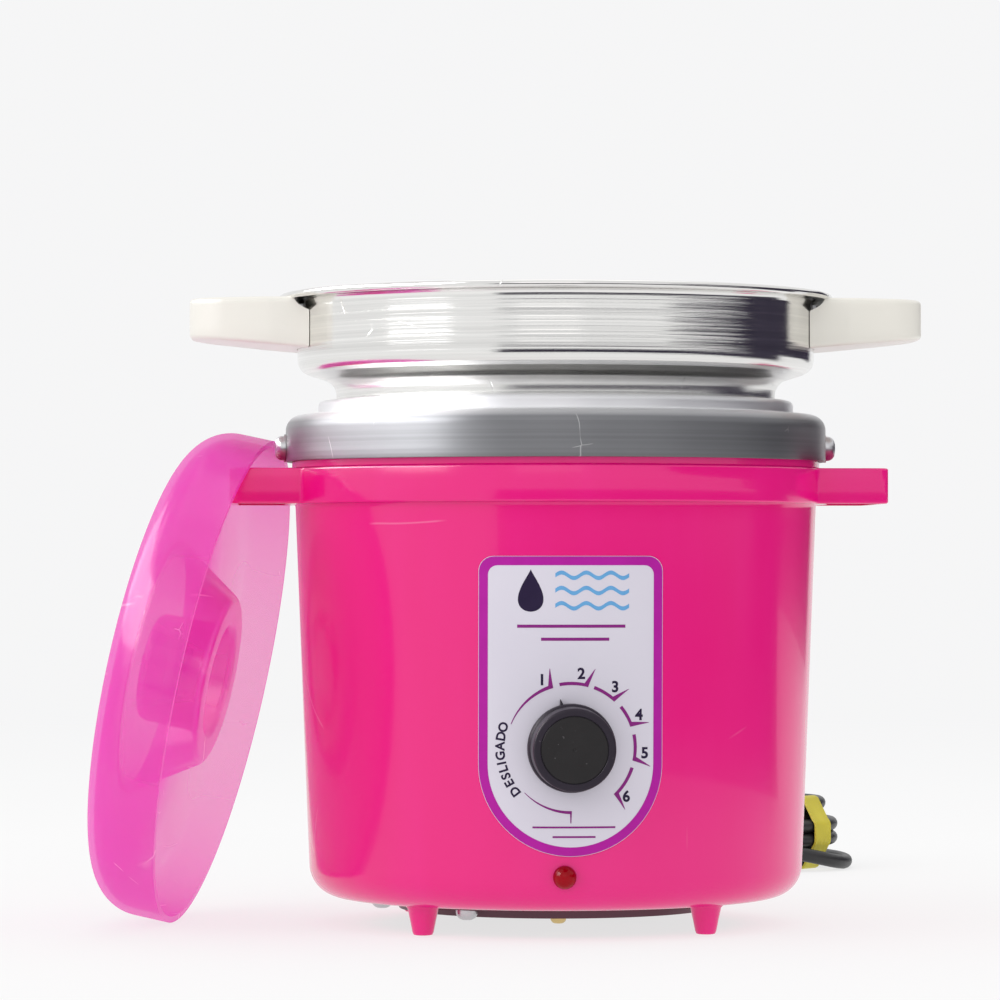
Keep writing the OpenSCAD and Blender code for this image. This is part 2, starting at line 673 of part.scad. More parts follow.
// The tapered relief on the cord, seated in the back of the housing.
module strain_relief() {
  inner_y = 65.1;
  flange_y = housing_at(cord_exit_z) + 0.5 - inner_y;
  neck = cord_hole_r - 0.1;
  color(dark) translate([0, inner_y, cord_exit_z]) rotate([-90, 0, 0]) rotate_extrude() polygon([
    [0, 0], [neck, 0], [neck, flange_y], [7.5, flange_y], [6.8, flange_y + 2.5],
    [5.2, flange_y + 2.5], [3.1, exit_y - inner_y], [0, exit_y - inner_y]]);
}
module power_cord() { color(dark) tube(lead_route, cord_d / 2, 10); }
module cord_tail() { color(dark) tube(tail_route, cord_d / 2, 10); }
module cord_coil() {
  color(dark) translate([coil_centre[0], coil_centre[1], coil_z]) rotate_extrude() polygon([
    [coil_in_r, 0.6], [coil_in_r + 0.6, 0], [coil_r + cord_d / 2, 0], [coil_out_r, 5.6],
    [coil_out_r, 16.8], [coil_r + cord_d / 2, coil_h - 0.6], [coil_r + 1.7, coil_h], [coil_in_r + 0.6, coil_h],
    [coil_in_r, coil_h - 0.6]]);
}
module cord_tie() {
  inner = coil_in_r - 0.6;
  outer = coil_out_r + 0.15;
  color("gold") translate([coil_centre[0], coil_centre[1], 0]) rotate([0, 0, tie_angle]) difference() {
    translate([inner - 0.7, -4.5, 0.02]) cube([outer - inner + 1.4, 9, coil_z + coil_h + 0.7]);
    translate([inner, -6, coil_z - 0.03]) cube([outer - inner, 12, coil_h + 0.06]);
  }
}
// A flat two-pin plug that lies on the floor, its pins to the left.
module plug_body() {
  color(dark) translate(plug_end) difference() {
    union() {
      bar_x(0, 0, -14, 0, 5, cord_d / 2 + 0.6);
      translate([-40, 0, 0]) rotate([0, 90, 0]) linear_extrude(27) polygon(concat(
        arc_points([3, 11], 3.9, 0, 90), arc_points([-3, 11], 3.9, 90, 180),
        arc_points([-3, -11], 3.9, 180, 270), arc_points([3, -11], 3.9, 270, 360)));
    }
    for (side = [-1, 1]) bar_x(side * pin_pitch / 2, 0, -50, -34, pin_r - 0.4, pin_r - 0.4);
  }
}
module plug_pins() {
  color(steel) translate(plug_end) for (side = [-1, 1]) {
    bar_x(side * pin_pitch / 2, 0, -40 - pin_l + 1, -40, pin_r, pin_r);
    bar_x(side * pin_pitch / 2, 0, -40.2, -34, pin_r - 0.4, pin_r - 0.4);
    bar_x(side * pin_pitch / 2, 0, -40 - pin_l, -40 - pin_l + 1, pin_r - 0.8, pin_r);
  }
}

housing();
foot_front_left();
foot_front_right();
foot_rear_left();
foot_rear_right();
bottom_cover();
bottom_cover_screws();
earth_stud();
terminal_block();
cord_clamp();
wiring();
heating_well();
collar_screw_left();
collar_screw_right();
collar_washer_left();
collar_washer_right();
heater_band();
heater_band_screw();
insulation_blanket();
heat_shield();
heat_shield_nut();
sensor_bulb();
sensor_clip();
thermal_fuse();
thermostat_body();
thermostat_screws();
thermostat_shaft();
knob();
knob_cap();
label();
lamp_lens();
lamp_body();
pan();
pan_handle_left();
pan_handle_right();
handle_bracket_left();
handle_bracket_right();
handle_rivets_left();
handle_rivets_right();
handle_screw_left();
handle_screw_right();
lid();
strain_relief();
power_cord();
cord_coil();
cord_tail();
cord_tie();
plug_body();
plug_pins();
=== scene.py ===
import json
import math

import bmesh
import bpy
from mathutils import Matrix, Vector


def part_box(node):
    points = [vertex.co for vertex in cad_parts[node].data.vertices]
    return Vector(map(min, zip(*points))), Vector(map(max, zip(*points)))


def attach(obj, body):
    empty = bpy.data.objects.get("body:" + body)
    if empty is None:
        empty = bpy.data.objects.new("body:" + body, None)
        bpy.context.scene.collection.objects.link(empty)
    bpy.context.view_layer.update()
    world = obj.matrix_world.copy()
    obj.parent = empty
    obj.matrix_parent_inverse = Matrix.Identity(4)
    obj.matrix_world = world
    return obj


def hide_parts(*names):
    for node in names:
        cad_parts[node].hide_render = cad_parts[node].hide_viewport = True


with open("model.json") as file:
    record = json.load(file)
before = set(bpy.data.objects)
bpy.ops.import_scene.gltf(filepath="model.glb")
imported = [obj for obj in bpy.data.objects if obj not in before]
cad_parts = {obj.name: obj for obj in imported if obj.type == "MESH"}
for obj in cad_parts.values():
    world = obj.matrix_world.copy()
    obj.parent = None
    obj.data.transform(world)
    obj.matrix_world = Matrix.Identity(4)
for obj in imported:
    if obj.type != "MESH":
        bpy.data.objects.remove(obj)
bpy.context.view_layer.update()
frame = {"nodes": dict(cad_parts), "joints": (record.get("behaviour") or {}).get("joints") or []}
mm = 0.001
print("frame loaded")


def newPiece(name, points, faces, crease=32):
    # points in millimetres
    mesh = bpy.data.meshes.new(name)
    mesh.from_pydata([Vector(p) * mm for p in points], [], faces)
    tidyMesh(mesh, crease)
    piece = bpy.data.objects.new(name, mesh)
    bpy.context.scene.collection.objects.link(piece)
    return piece


def tidyMesh(mesh, crease):
    bm = bmesh.new()
    bm.from_mesh(mesh)
    bmesh.ops.remove_doubles(bm, verts=bm.verts, dist=2e-6)
    bmesh.ops.dissolve_degenerate(bm, edges=bm.edges, dist=1e-6)
    bmesh.ops.recalc_face_normals(bm, faces=bm.faces)
    bm.to_mesh(mesh)
    bm.free()
    mesh.polygons.foreach_set("use_smooth", [True] * len(mesh.polygons))
    mesh.set_sharp_from_angle(angle=math.radians(crease))


def arc(centre, radius, start, end, steps=8):
    out = []
    for i in range(steps + 1):
        a = math.radians(start + (end - start) * i / steps)
        out.append((centre[0] + radius * math.cos(a), centre[1] + radius * math.sin(a)))
    return out


def rounded(corners, steps=6):
    # corners are (x, y) or (x, y, fillet radius); the two ends stay sharp
    path = []
    for i, corner in enumerate(corners):
        p = Vector(corner[:2])
        if len(corner) < 3 or i in (0, len(corners) - 1):
            path.append(tuple(p))
            continue
        before = (Vector(corners[i - 1][:2]) - p).normalized()
        after = (Vector(corners[i + 1][:2]) - p).normalized()
        half = before.angle(after) / 2
        reach = corner[2] / math.tan(half)
        centre = p + (before + after).normalized() * corner[2] / math.sin(half)
        first, last = p + before * reach - centre, p + after * reach - centre
        turn = first.angle_signed(last)
        for k in range(steps + 1):
            a = -turn * k / steps
            path.append(tuple(centre + Matrix.Rotation(a, 2) @ first))
    return path


def thick(path, wall):
    # the closed outline of a sheet that has the path on one face
    inside = []
    for i, p in enumerate(path):
        a = Vector(path[max(i - 1, 0)])
        b = Vector(path[min(i + 1, len(path) - 1)])
        along = (b - a).normalized()
        inside.append((p[0] - along.y * wall, p[1] + along.x * wall))
    inside = [(max(x, 0), y) for x, y in inside]
    return list(path) + inside[::-1]


def rings(rows, name, crease=32, closed=False, caps=False):
    # rows of points, each row a loop of the same length
    count = len(rows[0])
    faces = []
    for r in range(len(rows) if closed else len(rows) - 1):
        below, above = r * count, (r + 1) % len(rows) * count
        for k in range(count):
            n = (k + 1) % count
            faces.append((below + k, below + n, above + n, above + k))
    if caps:
        faces.append(tuple(range(count - 1, -1, -1)))
        faces.append(tuple((len(rows) - 1) * count + k for k in range(count)))
    return newPiece(name, [p for row in rows for p in row], faces, crease)


def turned(name, profile, steps=192, crease=32, closed=True):
    # a profile of (radius, height) spun round the Z axis
    rows = []
    for r, z in profile:
        rows.append([(r * math.cos(math.tau * k / steps), r * math.sin(math.tau * k / steps), z)
                     for k in range(steps)])
    return rings(rows, name, crease, closed)


def seatOf(node, axis):
    # the frame whose Z runs along the axis, from the lowest point of a CAD node along it
    z = Vector(axis).normalized()
    x = Vector((1, 0, 0)) if abs(z.z) > 0.9 else Vector((0, 0, 1)).cross(z).normalized()
    y = z.cross(x)
    turn = Matrix((x, y, z)).transposed()
    low = [1e9] * 3
    high = [-1e9] * 3
    for v in frame["nodes"][node].data.vertices:
        local = turn.transposed() @ v.co
        for i in range(3):
            low[i] = min(low[i], local[i])
            high[i] = max(high[i], local[i])
    origin = turn @ Vector(((low[0] + high[0]) / 2, (low[1] + high[1]) / 2, low[2]))
    return Matrix.Translation(origin) @ turn.to_4x4()


def place(piece, matrix):
    piece.data.transform(matrix)
    return piece


def fit(piece, body, slotName, material, *nodes):
    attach(piece, body)
    if nodes:
        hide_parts(*nodes)
    piece.data.materials.clear()
    piece.data.materials.append(material)
    return piece


class Finish:
    def __init__(self, name):
        self.material = bpy.data.materials.new(name)
        self.material.use_nodes = True
        self.tree = self.material.node_tree
        self.shader = self.tree.nodes["Principled BSDF"]
        self.output = self.tree.nodes["Material Output"]
        self.where = self.add("ShaderNodeTexCoord").outputs["Object"]

    def add(self, kind, **settings):
        node = self.tree.nodes.new(kind)
        for key, value in settings.items():
            setattr(node, key, value)
        return node

    def join(self, source, target):
        self.tree.links.new(source, target)

    def set(self, **values):
        for key, value in values.items():
            self.shader.inputs[key].default_value = value

    def scaled(self, scale):
        node = self.add("ShaderNodeMapping")
        node.inputs["Scale"].default_value = scale
        self.join(self.where, node.inputs["Vector"])
        return node.outputs[0]

    def noise(self, scale, detail=3, rough=0.5, vector=None):
        node = self.add("ShaderNodeTexNoise")
        node.inputs["Scale"].default_value = scale
        node.inputs["Detail"].default_value = detail
        node.inputs["Roughness"].default_value = rough
        self.join(vector or self.where, node.inputs["Vector"])
        return node.outputs["Fac"]

    def span(self, value, low, high, fromLow=0.0, fromHigh=1.0):
        node = self.add("ShaderNodeMapRange")
        node.inputs["From Min"].default_value = fromLow
        node.inputs["From Max"].default_value = fromHigh
        node.inputs["To Min"].default_value = low
        node.inputs["To Max"].default_value = high
        self.join(value, node.inputs["Value"])
        return node.outputs[0]

    def maths(self, operation, a, b=None):
        node = self.add("ShaderNodeMath", operation=operation)
        for socket, value in zip(node.inputs, (a, b)):
            if value is None:
                continue
            if isinstance(value, (int, float)):
                socket.default_value = value
            else:
                self.join(value, socket)
        return node.outputs[0]

    def mix(self, share, a, b):
        node = self.add("ShaderNodeMix", data_type="RGBA")
        for socket, value in ((node.inputs[0], share), (node.inputs[6], a), (node.inputs[7], b)):
            if isinstance(value, tuple):
                socket.default_value = (*value, 1)
            elif isinstance(value, (int, float)):
                socket.default_value = value
            else:
                self.join(value, socket)
        return node.outputs[2]

    def colour(self, source):
        self.join(source, self.shader.inputs["Base Color"])

    def roughness(self, source):
        self.join(source, self.shader.inputs["Roughness"])

    def bump(self, height, distance, strength=1.0):
        node = self.add("ShaderNodeBump")
        node.inputs["Strength"].default_value = strength
        node.inputs["Distance"].default_value = distance
        self.join(height, node.inputs["Height"])
        self.join(node.outputs[0], self.shader.inputs["Normal"])

    def scratches(self, size, width, spread, seed=0.0):
        # thin broken lines: edges of large warped cells, kept only in patches
        warp = self.add("ShaderNodeVectorMath", operation="ADD")
        shift = self.add("ShaderNodeVectorMath", operation="SCALE")
        field = self.add("ShaderNodeTexNoise")
        field.inputs["Scale"].default_value = size * 0.7
        self.join(self.where, field.inputs["Vector"])
        self.join(field.outputs["Color"], shift.inputs[0])
        shift.inputs["Scale"].default_value = 0.5 / size
        self.join(self.where, warp.inputs[0])
        self.join(shift.outputs[0], warp.inputs[1])
        cells = self.add("ShaderNodeTexVoronoi", feature="DISTANCE_TO_EDGE")
        cells.inputs["Scale"].default_value = size
        self.join(warp.outputs[0], cells.inputs["Vector"])
        line = self.span(cells.outputs["Distance"], 1, 0, 0, width)
        move = self.add("ShaderNodeMapping")
        move.inputs["Location"].default_value = (seed, seed * 0.7, 1.3 * seed)
        self.join(self.where, move.inputs["Vector"])
        patch = self.noise(size * 1.4, 2, 0.5, move.outputs[0])
        kept = self.span(patch, 0, 1, spread, spread + 0.05)
        return self.maths("MULTIPLY", line, kept)


def mouldedPlastic(name, low, high, rough, grain=900, coat=0.0, wear=0.15):
    f = Finish(name)
    f.set(**{"Coat Weight": coat, "Coat Roughness": 0.12, "IOR": 1.49})
    f.colour(f.mix(f.noise(18, 3), low, high))
    smear = f.noise(60, 4, 0.6)
    f.roughness(f.span(smear, rough - 0.05, rough + 0.08))
    height = f.maths("ADD", f.noise(grain, 2), f.maths("MULTIPLY", f.scratches(35, 0.01, 0.6), -wear))
    f.bump(height, 0.00003, 0.5)
    return f.material


def hotPinkShell():
    f = Finish("hotPinkShell")
    f.set(**{"IOR": 1.47, "Coat Weight": 0.25, "Coat Roughness": 0.04})
    cloud = f.noise(9, 4, 0.55)
    base = f.mix(cloud, (0.78, 0.0015, 0.185), (0.81, 0.0035, 0.215))
    flow = f.noise(1, 3, 0.5, f.scaled((60, 60, 8)))   # faint upright flow marks of the moulding
    base = f.mix(f.span(flow, 0, 0.35, 0.45, 0.75), base, (0.84, 0.008, 0.25))
    marks = f.scratches(16, 0.006, 0.60, 3.1)
    base = f.mix(f.maths("MULTIPLY", marks, 0.35), base, (0.95, 0.35, 0.55))
    f.colour(base)
    f.roughness(f.span(f.noise(45, 5, 0.65), 0.14, 0.25))
    height = f.maths("ADD", f.noise(260, 2, 0.5), f.maths("MULTIPLY", marks, -0.8))
    f.bump(height, 0.00004, 0.35)
    return f.material


def spunMetal(name, tint, rough, lines, depth, haze, scratch, dullBelow=None, paintedSheenAbove=None):
    # lathe marks: noise that depends on the radius and the height only, a little broken round the turn
    f = Finish(name)
    f.set(Metallic=1.0)
    split = f.add("ShaderNodeSeparateXYZ")
    f.join(f.where, split.inputs[0])
    radius = f.maths("SQRT", f.maths("ADD", f.maths("MULTIPLY", split.outputs[0], split.outputs[0]),
                                     f.maths("MULTIPLY", split.outputs[1], split.outputs[1])))
    around = f.add("ShaderNodeCombineXYZ")
    f.join(radius, around.inputs[0])
    f.join(f.maths("MULTIPLY", f.noise(6, 2), 0.0006), around.inputs[1])
    f.join(split.outputs[2], around.inputs[2])
    fine = f.noise(lines, 4, 0.7, around.outputs[0])
    broad = f.noise(lines * 0.3, 2, 0.5, around.outputs[0])
    cloud = f.noise(30, 4, 0.6)
    dark = tuple(c * 0.80 for c in tint)
    base = f.mix(f.span(fine, 0, 1, 0.3, 0.7), dark, tint)
    marks = f.scratches(48, 0.008, 0.62, 1.7)
    base = f.mix(f.maths("MULTIPLY", marks, scratch), base, (0.97, 0.97, 0.97))
    if paintedSheenAbove:                                      # painted highlight: the top edge is coloured brighter than the brushed skirt
        paintedSheenMask = f.span(split.outputs[2], 0, 1, paintedSheenAbove - 0.0015, paintedSheenAbove + 0.001)
        base = f.mix(paintedSheenMask, base, (0.86, 0.86, 0.88))
        f.set(Anisotropic=0.8, **{"Anisotropic Rotation": 0.25})
        tangent = f.add("ShaderNodeTangent", direction_type="RADIAL", axis="Z")
        f.join(tangent.outputs[0], f.shader.inputs["Tangent"])
    f.colour(base)
    blur = f.maths("ADD", f.span(fine, rough - 0.04, rough + 0.05), f.span(cloud, 0, haze))
    if dullBelow:                                        # metal that sits in the heat loses its polish
        dull = f.span(split.outputs[2], 1, 0, dullBelow - 0.004, dullBelow + 0.001)
        blur = f.maths("ADD", blur, f.maths("MULTIPLY", dull, 0.13))
    f.roughness(blur)
    height = f.maths("ADD", f.maths("MULTIPLY", fine, 0.35), broad)
    height = f.maths("ADD", height, f.maths("MULTIPLY", marks, -0.3))
    f.bump(height, depth, 1.0)
    return f.material


def plainMetal(name, tint, rough, grain=500):
    f = Finish(name)
    f.set(Metallic=1.0)
    f.colour(f.mix(f.noise(90, 4, 0.6), tuple(c * 0.78 for c in tint), tint))
    f.roughness(f.span(f.noise(grain, 3, 0.6), rough - 0.06, rough + 0.12))
    f.bump(f.noise(grain, 3), 0.00002, 0.6)
    return f.material


hotPink = hotPinkShell()
panMetal = spunMetal("polishedPan", (0.90, 0.895, 0.875), rough=0.09, lines=1000, depth=0.00017,
                     haze=0.05, scratch=0.15, dullBelow=0.158)
collarMetal = spunMetal("spunCollar", (0.27, 0.274, 0.288), rough=0.38, lines=1000, depth=0.00006,
                        haze=0.10, scratch=0.5, paintedSheenAbove=0.1435)
ivory = mouldedPlastic("ivoryHandle", (0.80, 0.775, 0.70), (0.84, 0.82, 0.76), 0.32, 500, 0.2)
coverPaint = mouldedPlastic("coverPaint", (0.07, 0.020, 0.035), (0.13, 0.035, 0.06), 0.38, 700)
zinc = plainMetal("zincScrews", (0.66, 0.66, 0.68), 0.28)
brass = plainMetal("bareBrass", (0.78, 0.60, 0.28), 0.30)
copper = plainMetal("bareCopper", (0.74, 0.42, 0.28), 0.32)
millFinish = plainMetal("millAluminium", (0.76, 0.76, 0.78), 0.36, 300)
platedSteel = plainMetal("platedSteel", (0.68, 0.68, 0.68), 0.34)
plugMetal = plainMetal("plugPins", (0.82, 0.72, 0.50), 0.22)
creamPlastic = mouldedPlastic("creamTerminal", (0.80, 0.78, 0.70), (0.86, 0.84, 0.77), 0.45)
blackPlastic = mouldedPlastic("blackClamp", (0.022, 0.022, 0.025), (0.034, 0.034, 0.038), 0.42)
sleeving = mouldedPlastic("wireSleeving", (0.80, 0.80, 0.78), (0.90, 0.90, 0.88), 0.55, 1500)
mica = mouldedPlastic("micaBand", (0.45, 0.34, 0.20), (0.66, 0.54, 0.38), 0.40, 400)
glassFelt = mouldedPlastic("glassFelt", (0.78, 0.76, 0.70), (0.90, 0.88, 0.82), 0.90, 1400)
neonGlass = mouldedPlastic("neonSleeve", (0.82, 0.80, 0.76), (0.92, 0.90, 0.86), 0.12)
rubber = mouldedPlastic("blackRubber", (0.012, 0.012, 0.013), (0.028, 0.028, 0.030), 0.50, 1200, 0.0, 0.1)
print("materials ready")


viewer = {
    "distance": 1.3,     # metres from the pot's own axis
    "round": -3.4,       # degrees round the pot, 0 looks straight at the knob
    "height": 0.1032,
    "lens": 164.2,       # on a 36 mm sensor
    "yaw": 0.697,
    "pitch": 0.754,
}
cameraData = bpy.data.cameras.new("viewCamera")
cameraData.lens = viewer["lens"]
cameraData.sensor_width = 36
cameraData.clip_end = 30
camera = bpy.data.objects.new("viewCamera", cameraData)
bpy.context.scene.collection.objects.link(camera)
bearing = math.radians(viewer["round"])
camera.location = (math.sin(bearing) * viewer["distance"], -math.cos(bearing) * viewer["distance"],
                   viewer["height"])
camera.rotation_euler = (math.radians(90 + viewer["pitch"]), 0, math.radians(viewer["round"] + viewer["yaw"]))
bpy.context.scene.camera = camera
print("camera set")


cordPlan = {
    "diameter": 4.6,
    "length": 1.37,                    # metres, from the strain relief's tip to the plug
    "exit": (0, 104, 22),
    "coilCentre": (79, 237),
    "innerRadius": 24,
    "outerRadius": 28,
    "innerTurns": 5,
    "outerTurns": 2,
    "firstHeight": 3.1,
    "stepsPerTurn": 60,
    "rampFrom": 0.76,                  # the part of a turn in which it climbs onto the next
    "rampTo": 0.90,
}
leadRoute = [
    (0, 104, 22), (0, 112, 21.6), (0, 120, 19.8), (0.5, 129, 15.6), (1.5, 138, 10.2), (3, 147, 5.6),
    (4.5, 156, 3.1), (7, 165.5, 2.4), (10.5, 175, 2.4), (15.5, 184, 2.4), (22, 192.5, 2.4), (30, 200, 2.4),
    (39.5, 206, 2.4), (50, 210.2, 2.5), (60, 212.4, 2.7), (70, 213, 3),
]
tailRoute = [
    (79, 209, 8.5), (85.5, 208.2, 7.3), (92.3, 207.9, 6.1), (99.6, 209.6, 4.6), (105.4, 214, 3.2),
    (109.2, 220.4, 2.4), (111, 228, 2.4), (111, 236.5, 2.4), (109.8, 245, 2.4), (107.6, 253.5, 2.4),
    (104.4, 262, 2.6), (99.8, 270.3, 3.6), (94.8, 277, 5.6), (90.4, 281, 6.8), (86, 282, 7),
]


def smoothLine(points, steps=5):
    out = []
    for i in range(len(points) - 1):
        p0, p1, p2, p3 = (Vector(points[max(0, min(len(points) - 1, i + k))]) for k in (-1, 0, 1, 2))
        for s in range(steps):
            t = s / steps
            out.append(0.5 * (2 * p1 + (p2 - p0) * t + (2 * p0 - 5 * p1 + 4 * p2 - p3) * t * t
                              + (3 * p1 - p0 - 3 * p2 + p3) * t ** 3))
    out.append(Vector(points[-1]))
    return out


def ease(t):
    t = max(0.0, min(1.0, t))
    return t * t * (3 - 2 * t)


def coilTurns(plan):
    d = plan["diameter"]
    top = plan["firstHeight"] + d * (plan["innerTurns"] - 1)
    outerTop = plan["firstHeight"] + d * 2.5
    levels = [(plan["innerRadius"], plan["firstHeight"] + d * n) for n in range(plan["innerTurns"])]
    levels += [(plan["outerRadius"], outerTop - d * n) for n in range(plan["outerTurns"])]
    levels.append((plan["outerRadius"], tailRoute[0][2]))
    points = []
    for n in range(len(levels) - 1):
        for k in range(plan["stepsPerTurn"]):
            share = k / plan["stepsPerTurn"]
            rise = ease((share - plan["rampFrom"]) / (plan["rampTo"] - plan["rampFrom"]))
            (r0, z0), (r1, z1) = levels[n], levels[n + 1]
            r, z = r0 + (r1 - r0) * rise, z0 + (z1 - z0) * rise
            if n == plan["innerTurns"] - 1:               # over the top turn and down its outside
                rise = ease((share - 0.55) / 0.40)
                r = r0 + (r1 - r0) * ease(rise * 1.6) + 0.9 * math.sin(math.pi * min(1, rise * 1.15) ** 2)
                z = top + (z1 - top) * rise ** 1.7
            a = math.radians(-90 + 360 * share)
            cx, cy = plan["coilCentre"]
            points.append((cx + r * math.cos(a), cy + r * math.sin(a), z))
    return points


def mainsCord():
    line = smoothLine(leadRoute + coilTurns(cordPlan)[1:][::5] + tailRoute)
    radius = cordPlan["diameter"] / 2
    turns = [math.tau * k / 16 for k in range(16)]
    rows = []
    side = Vector((1, 0, 0))
    for i, p in enumerate(line):
        along = (line[min(i + 1, len(line) - 1)] - line[max(i - 1, 0)]).normalized()
        side = (side - along * side.dot(along)).normalized()      # carried along without twist
        up = along.cross(side)
        rows.append([p + radius * (math.cos(t) * side + math.sin(t) * up) for t in turns])
    piece = rings(rows, "mainsCord", 50, caps=True)
    length = sum((b - a).length for a, b in zip(line, line[1:])) * mm
    print("cord length", round(length, 3))
    return piece, line


def sheathFinish():
    f = Finish("cordSheath")
    f.set(IOR=1.5)
    f.colour(f.mix(f.noise(120, 3), (0.010, 0.010, 0.011), (0.024, 0.024, 0.026)))
    f.roughness(f.span(f.noise(200, 3, 0.6), 0.34, 0.50))
    f.bump(f.noise(700, 3), 0.00004, 0.5)
    return f.material


cord, cordLine = mainsCord()
fit(cord, "base", "cord_pvc", sheathFinish(), "power_cord", "cord_coil", "cord_tail")


def strainRelief():
    # a flange, then rings that thin out towards the tip
    lo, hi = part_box("strain_relief")
    back, tip = lo.y / mm, hi.y / mm
    flange = 71.9
    profile = [(0, 0), (4.7, 0), (4.7, flange - back), (7.2, flange - back), (7.5, flange - back + 0.3)]
    profile += [(7.5, flange - back + 1.6), (6.9, flange - back + 2.3), (5.6, flange - back + 2.6)]
    start, end = flange - back + 2.6, tip - back
    ringCount = 8
    pitch = (end - start - 2) / ringCount
    for k in range(ringCount):
        at = start + k * pitch
        r = 5.2 + (3.25 - 5.2) * k / (ringCount - 1)
        profile += [(r, at + 0.15), (r + 0.25, at + 0.45), (r + 0.2, at + pitch * 0.55),
                    (r - 0.1, at + pitch * 0.66), (r - 0.75, at + pitch * 0.72), (r - 0.8, at + pitch * 0.94)]
    profile += [(3.1, end - 1.9), (3.1, end - 0.3), (2.8, end), (0, end)]
    piece = turned("strainRelief", profile, 64, 40, closed=False)
    spot = Vector((0, back, (lo.z + hi.z) / 2 / mm)) * mm
    place(piece, Matrix.Translation(spot) @ Matrix.Rotation(math.radians(-90), 4, "X"))
    return fit(piece, "base", "black_rubber", rubber, "strain_relief")


def cordTie():
    # one loop of strap pulled tight round all the turns
    plan = {"angle": -41, "width": 9, "thick": 0.6}
    near, far, low = cordPlan["innerRadius"], cordPlan["outerRadius"], cordPlan["firstHeight"]
    ring = []
    corners = [(near, low, 180, 270), (near, low, 270, 312), (far, 10.0, 312, 360), (far, 14.6, 0, 55),
               (near, 21.5, 55, 180)]
    for r, z, start, end in corners:
        ring += arc((r, z), cordPlan["diameter"] / 2 + 0.08, start, end, 6)
    outer = []
    for i, p in enumerate(ring):
        a, b = Vector(ring[i - 1]), Vector(ring[(i + 1) % len(ring)])
        along = (b - a).normalized()
        outer.append((p[0] + along.y * plan["thick"], p[1] - along.x * plan["thick"]))
    half = plan["width"] / 2
    rows = []
    for path, side in ((ring, -half), (outer, -half + 0.25), (outer, half - 0.25), (ring, half)):
        rows.append([(x, side, z) for x, z in path])
    piece = rings(rows, "cordTie", 40, closed=True)
    spot = Vector((*cordPlan["coilCentre"], 0)) * mm
    place(piece, Matrix.Translation(spot) @ Matrix.Rotation(math.radians(plan["angle"]), 4, "Z"))
    f = Finish("yellowStrap")
    weave = f.add("ShaderNodeTexWave", wave_type="BANDS", bands_direction="DIAGONAL")
    weave.inputs["Scale"].default_value = 500
    f.join(f.where, weave.inputs["Vector"])
    f.colour(f.mix(f.noise(150, 3), (0.50, 0.43, 0.02), (0.70, 0.62, 0.05)))
    f.roughness(f.span(weave.outputs["Fac"], 0.45, 0.65))
    f.bump(weave.outputs["Fac"], 0.00012, 0.7)
    return fit(piece, "base", "yellow_tie", f.material, "cord_tie")


def plugBody():
    # a flat moulded plug: rounded body with finger grooves and a ringed, tapered neck
    plan = {"bodyEnd": 28.4, "grooves": (9, 13, 17), "neckRings": 4, "neckFrom": 4.6, "neckTaper": 1.4}
    lo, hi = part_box("plug_body")
    cy, cz = (lo.y + hi.y) / 2 / mm, (lo.z + hi.z) / 2 / mm
    x0, x1 = lo.x / mm, hi.x / mm
    halfWide, halfHigh = (hi.y - lo.y) / 2 / mm, (hi.z - lo.z) / 2 / mm
    turns = [math.tau * k / 64 for k in range(64)]
    stations = [(0, 0.86), (0.4, 0.95), (1.2, 1.0)]
    for groove in plan["grooves"]:
        stations += [(groove - 1, 1.0), (groove, 0.955), (groove + 1, 1.0)]
    stations += [(22, 0.99), (24.5, 0.93), (26.2, 0.78), (27.4, 0.55), (plan["bodyEnd"], 0.42)]
    rows = []
    for at, share in stations:
        wide, high = halfWide * share, halfHigh * min(1, 0.25 + 0.75 * share if share < 0.9 else share)
        row = []
        for t in turns:
            c, s = math.cos(t), math.sin(t)
            row.append((x0 + at, cy + wide * math.copysign(abs(c) ** 0.55, c),
                        cz + high * math.copysign(abs(s) ** 0.62, s)))
        rows.append(row)
    pitch = (x1 - x0 - plan["bodyEnd"]) / plan["neckRings"]
    for k in range(plan["neckRings"]):
        at = plan["bodyEnd"] + pitch * k
        ringRadius = plan["neckFrom"] - plan["neckTaper"] * k / plan["neckRings"]
        ridge = [(0.2, 0), (0.5, 0.3), (pitch - 1.0, 0.3), (pitch - 0.7, -0.4), (pitch - 0.1, -0.4)]
        for step, grow in ridge:
            r = ringRadius + grow
            rows.append([(x0 + at + step, cy + r * math.cos(t), cz + r * math.sin(t)) for t in turns])
    piece = rings(rows, "plugBody", 40, caps=True)
    return fit(piece, "base", "black_rubber", rubber, "plug_body")


relief = strainRelief()
tie = cordTie()
plug = plugBody()
print("cord laid")


housing = {
    "topRadius": 74, "footRadius": 70, "edgeRadius": 9, "bottom": 8, "flangeRadius": 44,
    "bandRadius": 76, "bandLow": 119, "bandHigh": 129, "lugReach": 92.5, "lugWidth": 48,
    "lugCorner": 3, "lugFillet": 1.6, "edgeRound": 0.6, "neckRadius": 75, "neckTop": 139, "wall": 2.2,
    "taperFrom": 16, "taperTo": 118, "coreRadius": 77.2,
}


def housingRadius(z):
    h = housing
    share = (z - h["taperFrom"]) / (h["taperTo"] - h["taperFrom"])
    return h["footRadius"] + (h["topRadius"] - h["footRadius"]) * share


